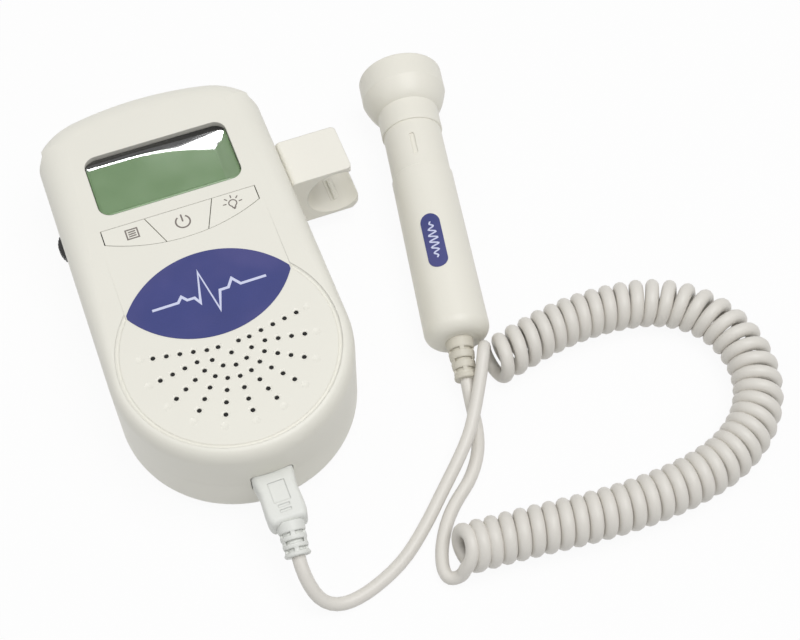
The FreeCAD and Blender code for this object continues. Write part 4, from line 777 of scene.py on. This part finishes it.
def makeGrainGroup(values):
    # moulded surface: faint cloudy shade, a roughness that drifts, and a fine grain for the bump
    group, given, out = newGroup("mouldedGrain", [
        ("Colour", "NodeSocketColor", (0.8, 0.8, 0.8, 1.0)), ("Shade Drift", "NodeSocketFloat", 0.03),
        ("Roughness", "NodeSocketFloat", 0.4), ("Gloss Drift", "NodeSocketFloat", 0.06),
        ("Grain Scale", "NodeSocketFloat", 2600.0)], [
        ("Colour", "NodeSocketColor"), ("Roughness", "NodeSocketFloat"), ("Height", "NodeSocketFloat")])

    def offMiddle(value, amount):
        # a noise of 0 to 1 becomes plus or minus half the amount
        return mathNode(group, "MULTIPLY", mathNode(group, "SUBTRACT", value, 0.5), given.outputs[amount])

    place = group.nodes.new("ShaderNodeTexCoord").outputs["Object"]
    cloud = noiseNode(group, place, values["cloudScale"], values["cloudDetail"]).outputs["Fac"]
    grain = group.nodes.new("ShaderNodeTexNoise")
    grain.inputs["Detail"].default_value = values["grainDetail"]
    group.links.new(place, grain.inputs["Vector"])
    group.links.new(given.outputs["Grain Scale"], grain.inputs["Scale"])
    speck = offMiddle(grain.outputs["Fac"], "Shade Drift")
    drift = mathNode(group, "ADD", offMiddle(cloud, "Shade Drift"), speck)
    shade = group.nodes.new("ShaderNodeVectorMath")
    shade.operation = "SCALE"
    group.links.new(given.outputs["Colour"], shade.inputs[0])
    group.links.new(mathNode(group, "ADD", drift, 1.0), shade.inputs["Scale"])
    group.links.new(shade.outputs[0], out.inputs["Colour"])
    roughness = mathNode(group, "ADD", offMiddle(cloud, "Gloss Drift"), given.outputs["Roughness"])
    group.links.new(roughness, out.inputs["Roughness"])
    group.links.new(grain.outputs["Fac"], out.inputs["Height"])
    return group


grainGroup = makeGrainGroup(grainValues)


def newMaterial(name):
    material = bpy.data.materials.new(name)
    material.use_nodes = True
    return material, material.node_tree, material.node_tree.nodes["Principled BSDF"]


def objectPlace(tree):
    return tree.nodes.new("ShaderNodeTexCoord").outputs["Object"]


def addBump(tree, shader, height, strength):
    bump = tree.nodes.new("ShaderNodeBump")
    bump.inputs["Strength"].default_value = strength
    bump.inputs["Distance"].default_value = grainValues["bumpDepth"] * mm
    tree.links.new(height, bump.inputs["Height"])
    tree.links.new(bump.outputs["Normal"], shader.inputs["Normal"])
    return bump


def addGrain(tree, shader, values, colour=None):
    # places the shared grain in a material and feeds its colour, roughness and bump
    values = {**usualFinish, **values}
    grain = tree.nodes.new("ShaderNodeGroup")
    grain.node_tree = grainGroup
    if colour is None:
        grain.inputs["Colour"].default_value = (*values["colour"], 1.0)
    else:
        tree.links.new(colour, grain.inputs["Colour"])
    grain.inputs["Shade Drift"].default_value = values["drift"]
    grain.inputs["Roughness"].default_value = values["roughness"]
    grain.inputs["Gloss Drift"].default_value = values["glossDrift"]
    grain.inputs["Grain Scale"].default_value = values["grain"]
    bump = addBump(tree, shader, grain.outputs["Height"], values["bump"])
    if values["edge"]:
        soft = tree.nodes.new("ShaderNodeBevel")
        soft.samples = grainValues["edgeSamples"]
        soft.inputs["Radius"].default_value = values["edge"] * mm
        tree.links.new(soft.outputs["Normal"], bump.inputs["Normal"])
    tree.links.new(grain.outputs["Colour"], shader.inputs["Base Color"])
    tree.links.new(grain.outputs["Roughness"], shader.inputs["Roughness"])


# what a finish has where it names no value of its own; edge is the radius of a soft edge, in mm
usualFinish = {"drift": 0.03, "glossDrift": 0.08, "grain": 2600.0, "bump": 0.06, "edge": 0.0}
plastics = {
    "case_plastic": {"colour": (0.79, 0.775, 0.70), "roughness": 0.42, "glossDrift": 0.05,
                     "bump": 0.05, "edge": 0.35},
    "key_plastic": {"colour": (0.80, 0.785, 0.71), "roughness": 0.42, "glossDrift": 0.05,
                    "bump": 0.05, "edge": 0.12},
    "clip_plastic": {"colour": (0.83, 0.81, 0.735), "roughness": 0.42, "glossDrift": 0.05,
                     "bump": 0.05, "edge": 0.6},
    "probe_plastic": {"colour": (0.79, 0.77, 0.69), "roughness": 0.43, "glossDrift": 0.04,
                      "bump": 0.03, "edge": 0.2},
    "plug_plastic": {"colour": (0.745, 0.755, 0.72), "roughness": 0.45, "glossDrift": 0.05,
                     "bump": 0.07, "edge": 0.5},
    "relief_rubber": {"colour": (0.62, 0.59, 0.505), "roughness": 0.48, "bump": 0.08, "edge": 0.25},
    "cord_jacket": {"colour": (0.715, 0.69, 0.64), "roughness": 0.40, "bump": 0.05, "drift": 0.05},
    "black_plastic": {"colour": (0.016, 0.016, 0.017), "roughness": 0.42, "bump": 0.10, "drift": 0.25},
    "paper_cone": {"colour": (0.03, 0.03, 0.032), "roughness": 0.8, "bump": 0.3, "drift": 0.3,
                   "grain": 1500.0},
    "magnet": {"colour": (0.05, 0.05, 0.055), "roughness": 0.5, "bump": 0.15, "drift": 0.3},
    "light_guide": {"colour": (0.80, 0.84, 0.82), "roughness": 0.3, "bump": 0.05},
    "cell_jacket": {"colour": (0.075, 0.08, 0.09), "roughness": 0.25, "bump": 0.02, "drift": 0.15},
    "acoustic_rubber": {"colour": (0.42, 0.44, 0.47), "roughness": 0.35, "bump": 0.04},
    "seal_rubber": {"colour": (0.02, 0.02, 0.02), "roughness": 0.6, "bump": 0.1, "drift": 0.3},
    "backing_resin": {"colour": (0.10, 0.10, 0.11), "roughness": 0.6, "bump": 0.25, "drift": 0.3},
    "icon_print": {"colour": (0.19, 0.165, 0.15), "roughness": 0.45, "bump": 0.04, "drift": 0.1},
    "mark_print": {"colour": (0.60, 0.63, 0.82), "roughness": 0.4, "bump": 0.04, "drift": 0.06},
}
metals = {
    "steel": {"colour": (0.60, 0.60, 0.62), "roughness": 0.3, "drift": 0.12, "grain": 900.0},
    "crystal": {"colour": (0.75, 0.75, 0.73), "roughness": 0.35, "drift": 0.1, "grain": 1800.0},
}


def mouldedFinish(name, values):
    material, tree, shader = newMaterial(name)
    addGrain(tree, shader, values)
    return material


def metalFinish(name, values):
    material, tree, shader = newMaterial(name)
    shader.inputs["Metallic"].default_value = 1.0
    addGrain(tree, shader, values)
    return material


labelValues = {
    "colour": (0.024, 0.034, 0.175),
    "warm": (0.048, 0.05, 0.20),
    "cloudScale": 38.0,
    "cloudDetail": 3.0,
    "cloudEdges": (0.35, 0.65),
    "roughness": 0.36,
    "bump": 0.12,
    "drift": 0.22,
    "grain": 3200.0,
}


def labelFinish(name, values):
    # printed film: the blue-violet ink drifts towards a redder violet and shows a fine print grain
    material, tree, shader = newMaterial(name)
    cloud = noiseNode(tree, objectPlace(tree), values["cloudScale"], values["cloudDetail"]).outputs["Fac"]
    low, high = values["cloudEdges"]
    share = rampNode(tree, cloud, (low, 0.0), (high, 1.0))
    addGrain(tree, shader, values, mixColour(tree, "MIX", share, values["colour"], values["warm"]))
    return material


clothValues = {
    "colour": (0.012, 0.012, 0.012),
    "darkShare": 0.4,            # how bright the gaps between threads are
    "threadScale": 165.0,
    "bump": 0.4,
    "roughness": 0.9,
}


def clothFinish(name, values):
    # two crossed rows of threads
    material, tree, shader = newMaterial(name)
    place = objectPlace(tree)
    waves = []
    for direction in ("X", "Y"):
        wave = tree.nodes.new("ShaderNodeTexWave")
        wave.bands_direction = direction
        wave.inputs["Scale"].default_value = values["threadScale"]
        tree.links.new(place, wave.inputs["Vector"])
        waves.append(wave.outputs["Fac"])
    weave = mathNode(tree, "MAXIMUM", waves[0], waves[1])
    addBump(tree, shader, weave, values["bump"])
    dark = tuple(values["darkShare"] * part for part in values["colour"])
    tree.links.new(mixColour(tree, "MIX", weave, dark, values["colour"]), shader.inputs["Base Color"])
    shader.inputs["Roughness"].default_value = values["roughness"]
    return material


boardValues = {
    "colour": (0.02, 0.13, 0.05),
    "trace": (0.04, 0.22, 0.09),
    "pad": (0.55, 0.42, 0.15),
    "cellScale": 320.0,
    "traceEdges": (0.42, 0.46),
    "padEdges": (0.10, 0.13),
    "roughness": 0.3,
    "bump": 0.1,
    "drift": 0.1,
}


def boardFinish(name, values):
    # green mask over copper: square cells give the tracks, their centres the bare pads
    material, tree, shader = newMaterial(name)
    cells = tree.nodes.new("ShaderNodeTexVoronoi")
    cells.distance = "CHEBYCHEV"
    cells.inputs["Scale"].default_value = values["cellScale"]
    tree.links.new(objectPlace(tree), cells.inputs["Vector"])
    trackLow, trackHigh = values["traceEdges"]
    padLow, padHigh = values["padEdges"]
    tracks = rampNode(tree, cells.outputs["Distance"], (trackLow, 0.0), (trackHigh, 1.0))
    pads = rampNode(tree, cells.outputs["Distance"], (padLow, 1.0), (padHigh, 0.0))
    colour = mixColour(tree, "MIX", tracks, values["colour"], values["trace"])
    addGrain(tree, shader, values, mixColour(tree, "MIX", pads, colour, values["pad"]))
    return material


displayValues = {
    "green": (0.108, 0.186, 0.082),
    "greenDrift": 0.07,
    # a paler green at the right margin: a painted reflection of the light on the cap's tilted margin
    "paintedSheenGreen": (0.135, 0.21, 0.108),
    "sheenEdges": (0.95, 1.05),   # where the side's green ends, as a share of the right margin
    # a grey band at the inner edge of the far margin: a painted reflection
    "greyReflection": (0.155, 0.205, 0.15),
    "greyReflections": (0.97, 1.04),   # and where the grey ends, as a share of the far margin
    # the black band along the far margin: partly the real black frame, partly a painted dark reflection
    "frame": (0.012, 0.012, 0.012),
    "darkBandShare": 0.80,          # the black band's share of the cap's far margin, real frame and painted dark reflection together
    "darkBandSoft": 0.03,
    "mitreSoft": 0.03,
    "cloudScale": 90.0,
    "cloudDetail": 2.0,
    "cloudEdges": (0.3, 0.7),
    "roughness": 0.10,
    "smear": 0.05,
    "gloss": 0.1,
    "coat": 1.5,
    "coatRoughness": 0.03,
}


def displayFinish(name, values, cap):
    # the display's colours painted on its cap: green glass; under the right margin a paler green strip, a
    # painted reflection;
    # along the far side a black band, partly the real black frame and partly a painted dark reflection, with
    # a painted grey reflection at its inner edge
    material, tree, shader = newMaterial(name)

    def calc(operation, first, second):
        return mathNode(tree, operation, first, second)

    place = objectPlace(tree)
    split = tree.nodes.new("ShaderNodeSeparateXYZ")
    tree.links.new(place, split.inputs[0])
    x = calc("DIVIDE", split.outputs["X"], mm)
    y = calc("DIVIDE", split.outputs["Y"], mm)
    # shares of the far and the right margin: 0 at the cap's edge, 1 where the margin ends
    widen, start = cap["farWiden"]
    square = calc("POWER", calc("MAXIMUM", calc("ADD", x, start), 0.0), 2.0)
    margin = calc("ADD", calc("MULTIPLY", square, widen), cap["farMargin"])
    share = calc("DIVIDE", calc("SUBTRACT", cap["high"], y), margin)
    rightShare = calc("DIVIDE", calc("SUBTRACT", cap["half"], x), cap["rightMargin"])
    # the mitre is 1 where the far margin falls further than the right one
    farFall = calc("MULTIPLY", calc("SUBTRACT", 1.0, share), math.sqrt(cap["farDrop"]))
    rightReach = calc("MAXIMUM", calc("SUBTRACT", 1.0, rightShare), 0.0)
    rightFall = calc("MULTIPLY", rightReach, math.sqrt(cap["rightDrop"]))
    soft = values["mitreSoft"]
    mitre = rampNode(tree, calc("SUBTRACT", farFall, rightFall), (-soft, 0.0), (soft, 1.0))

    cloud = noiseNode(tree, place, values["cloudScale"], values["cloudDetail"]).outputs["Fac"]
    shades = [tuple((1.0 + drift) * part for part in values["green"])
              for drift in (-values["greenDrift"], values["greenDrift"])]
    colour = mixColour(tree, "MIX", cloud, *shades)
    # the paler strip at the right margin: a painted reflection
    low, high = values["sheenEdges"]
    side = rampNode(tree, rightShare, (low, 1.0), (high, 0.0))
    colour = mixColour(tree, "MIX", side, colour, values["paintedSheenGreen"])
    # the grey band along the far margin's inner edge: a painted reflection
    low, high = values["greyReflections"]
    edge = calc("MULTIPLY", rampNode(tree, share, (low, 1.0), (high, 0.0)), mitre)
    colour = mixColour(tree, "MIX", edge, colour, values["greyReflection"])
    # the black band along the far side: partly the real frame, partly a painted dark reflection
    low, high = values["darkBandShare"] - values["darkBandSoft"], values["darkBandShare"] + values["darkBandSoft"]
    top = calc("MULTIPLY", rampNode(tree, share, (low, 1.0), (high, 0.0)), mitre)
    colour = mixColour(tree, "MIX", top, colour, values["frame"])
    tree.links.new(colour, shader.inputs["Base Color"])

    low, high = values["cloudEdges"]
    smear = rampNode(tree, cloud, (low, values["roughness"]), (high, values["roughness"] + values["smear"]))
    tree.links.new(smear, shader.inputs["Roughness"])
    shader.inputs["Specular IOR Level"].default_value = values["gloss"]
    shader.inputs["Coat Weight"].default_value = 1.0
    shader.inputs["Coat Roughness"].default_value = values["coatRoughness"]
    shader.inputs["Coat IOR"].default_value = values["coat"]
    return material


glassValues = {"colour": (0.20, 0.29, 0.18), "roughness": 0.12, "bump": 0.01, "drift": 0.06}

materials = {name: mouldedFinish(name, values) for name, values in plastics.items()}
materials.update({name: metalFinish(name, values) for name, values in metals.items()})
materials["label_film"] = labelFinish("label_film", labelValues)
materials["speaker_cloth"] = clothFinish("speaker_cloth", clothValues)
materials["circuit_board"] = boardFinish("circuit_board", boardValues)
materials["lens"] = displayFinish("displayWindow", displayValues, windowValues)
materials["lcd"] = mouldedFinish("lcd", glassValues)
slotOf = {entry["node"]: entry["material_slot"] for entry in frame["record"]["subparts"]}
for node, piece in nodes.items():
    piece.data.materials.clear()
    piece.data.materials.append(materials[slotOf[node]])
cordPiece.data.materials.append(materials["cord_jacket"])
windowPiece.data.materials.append(materials["lens"])
ribPiece.data.materials.append(materials["clip_plastic"])
grilleShadePiece.data.materials.append(materials["speaker_cloth"])
for piece in iconPieces:
    piece.data.materials.append(materials["icon_print"])
for piece in (pulsePiece, wavePiece):
    piece.data.materials.append(materials["mark_print"])
print("finishes")

bpy.context.view_layer.update()
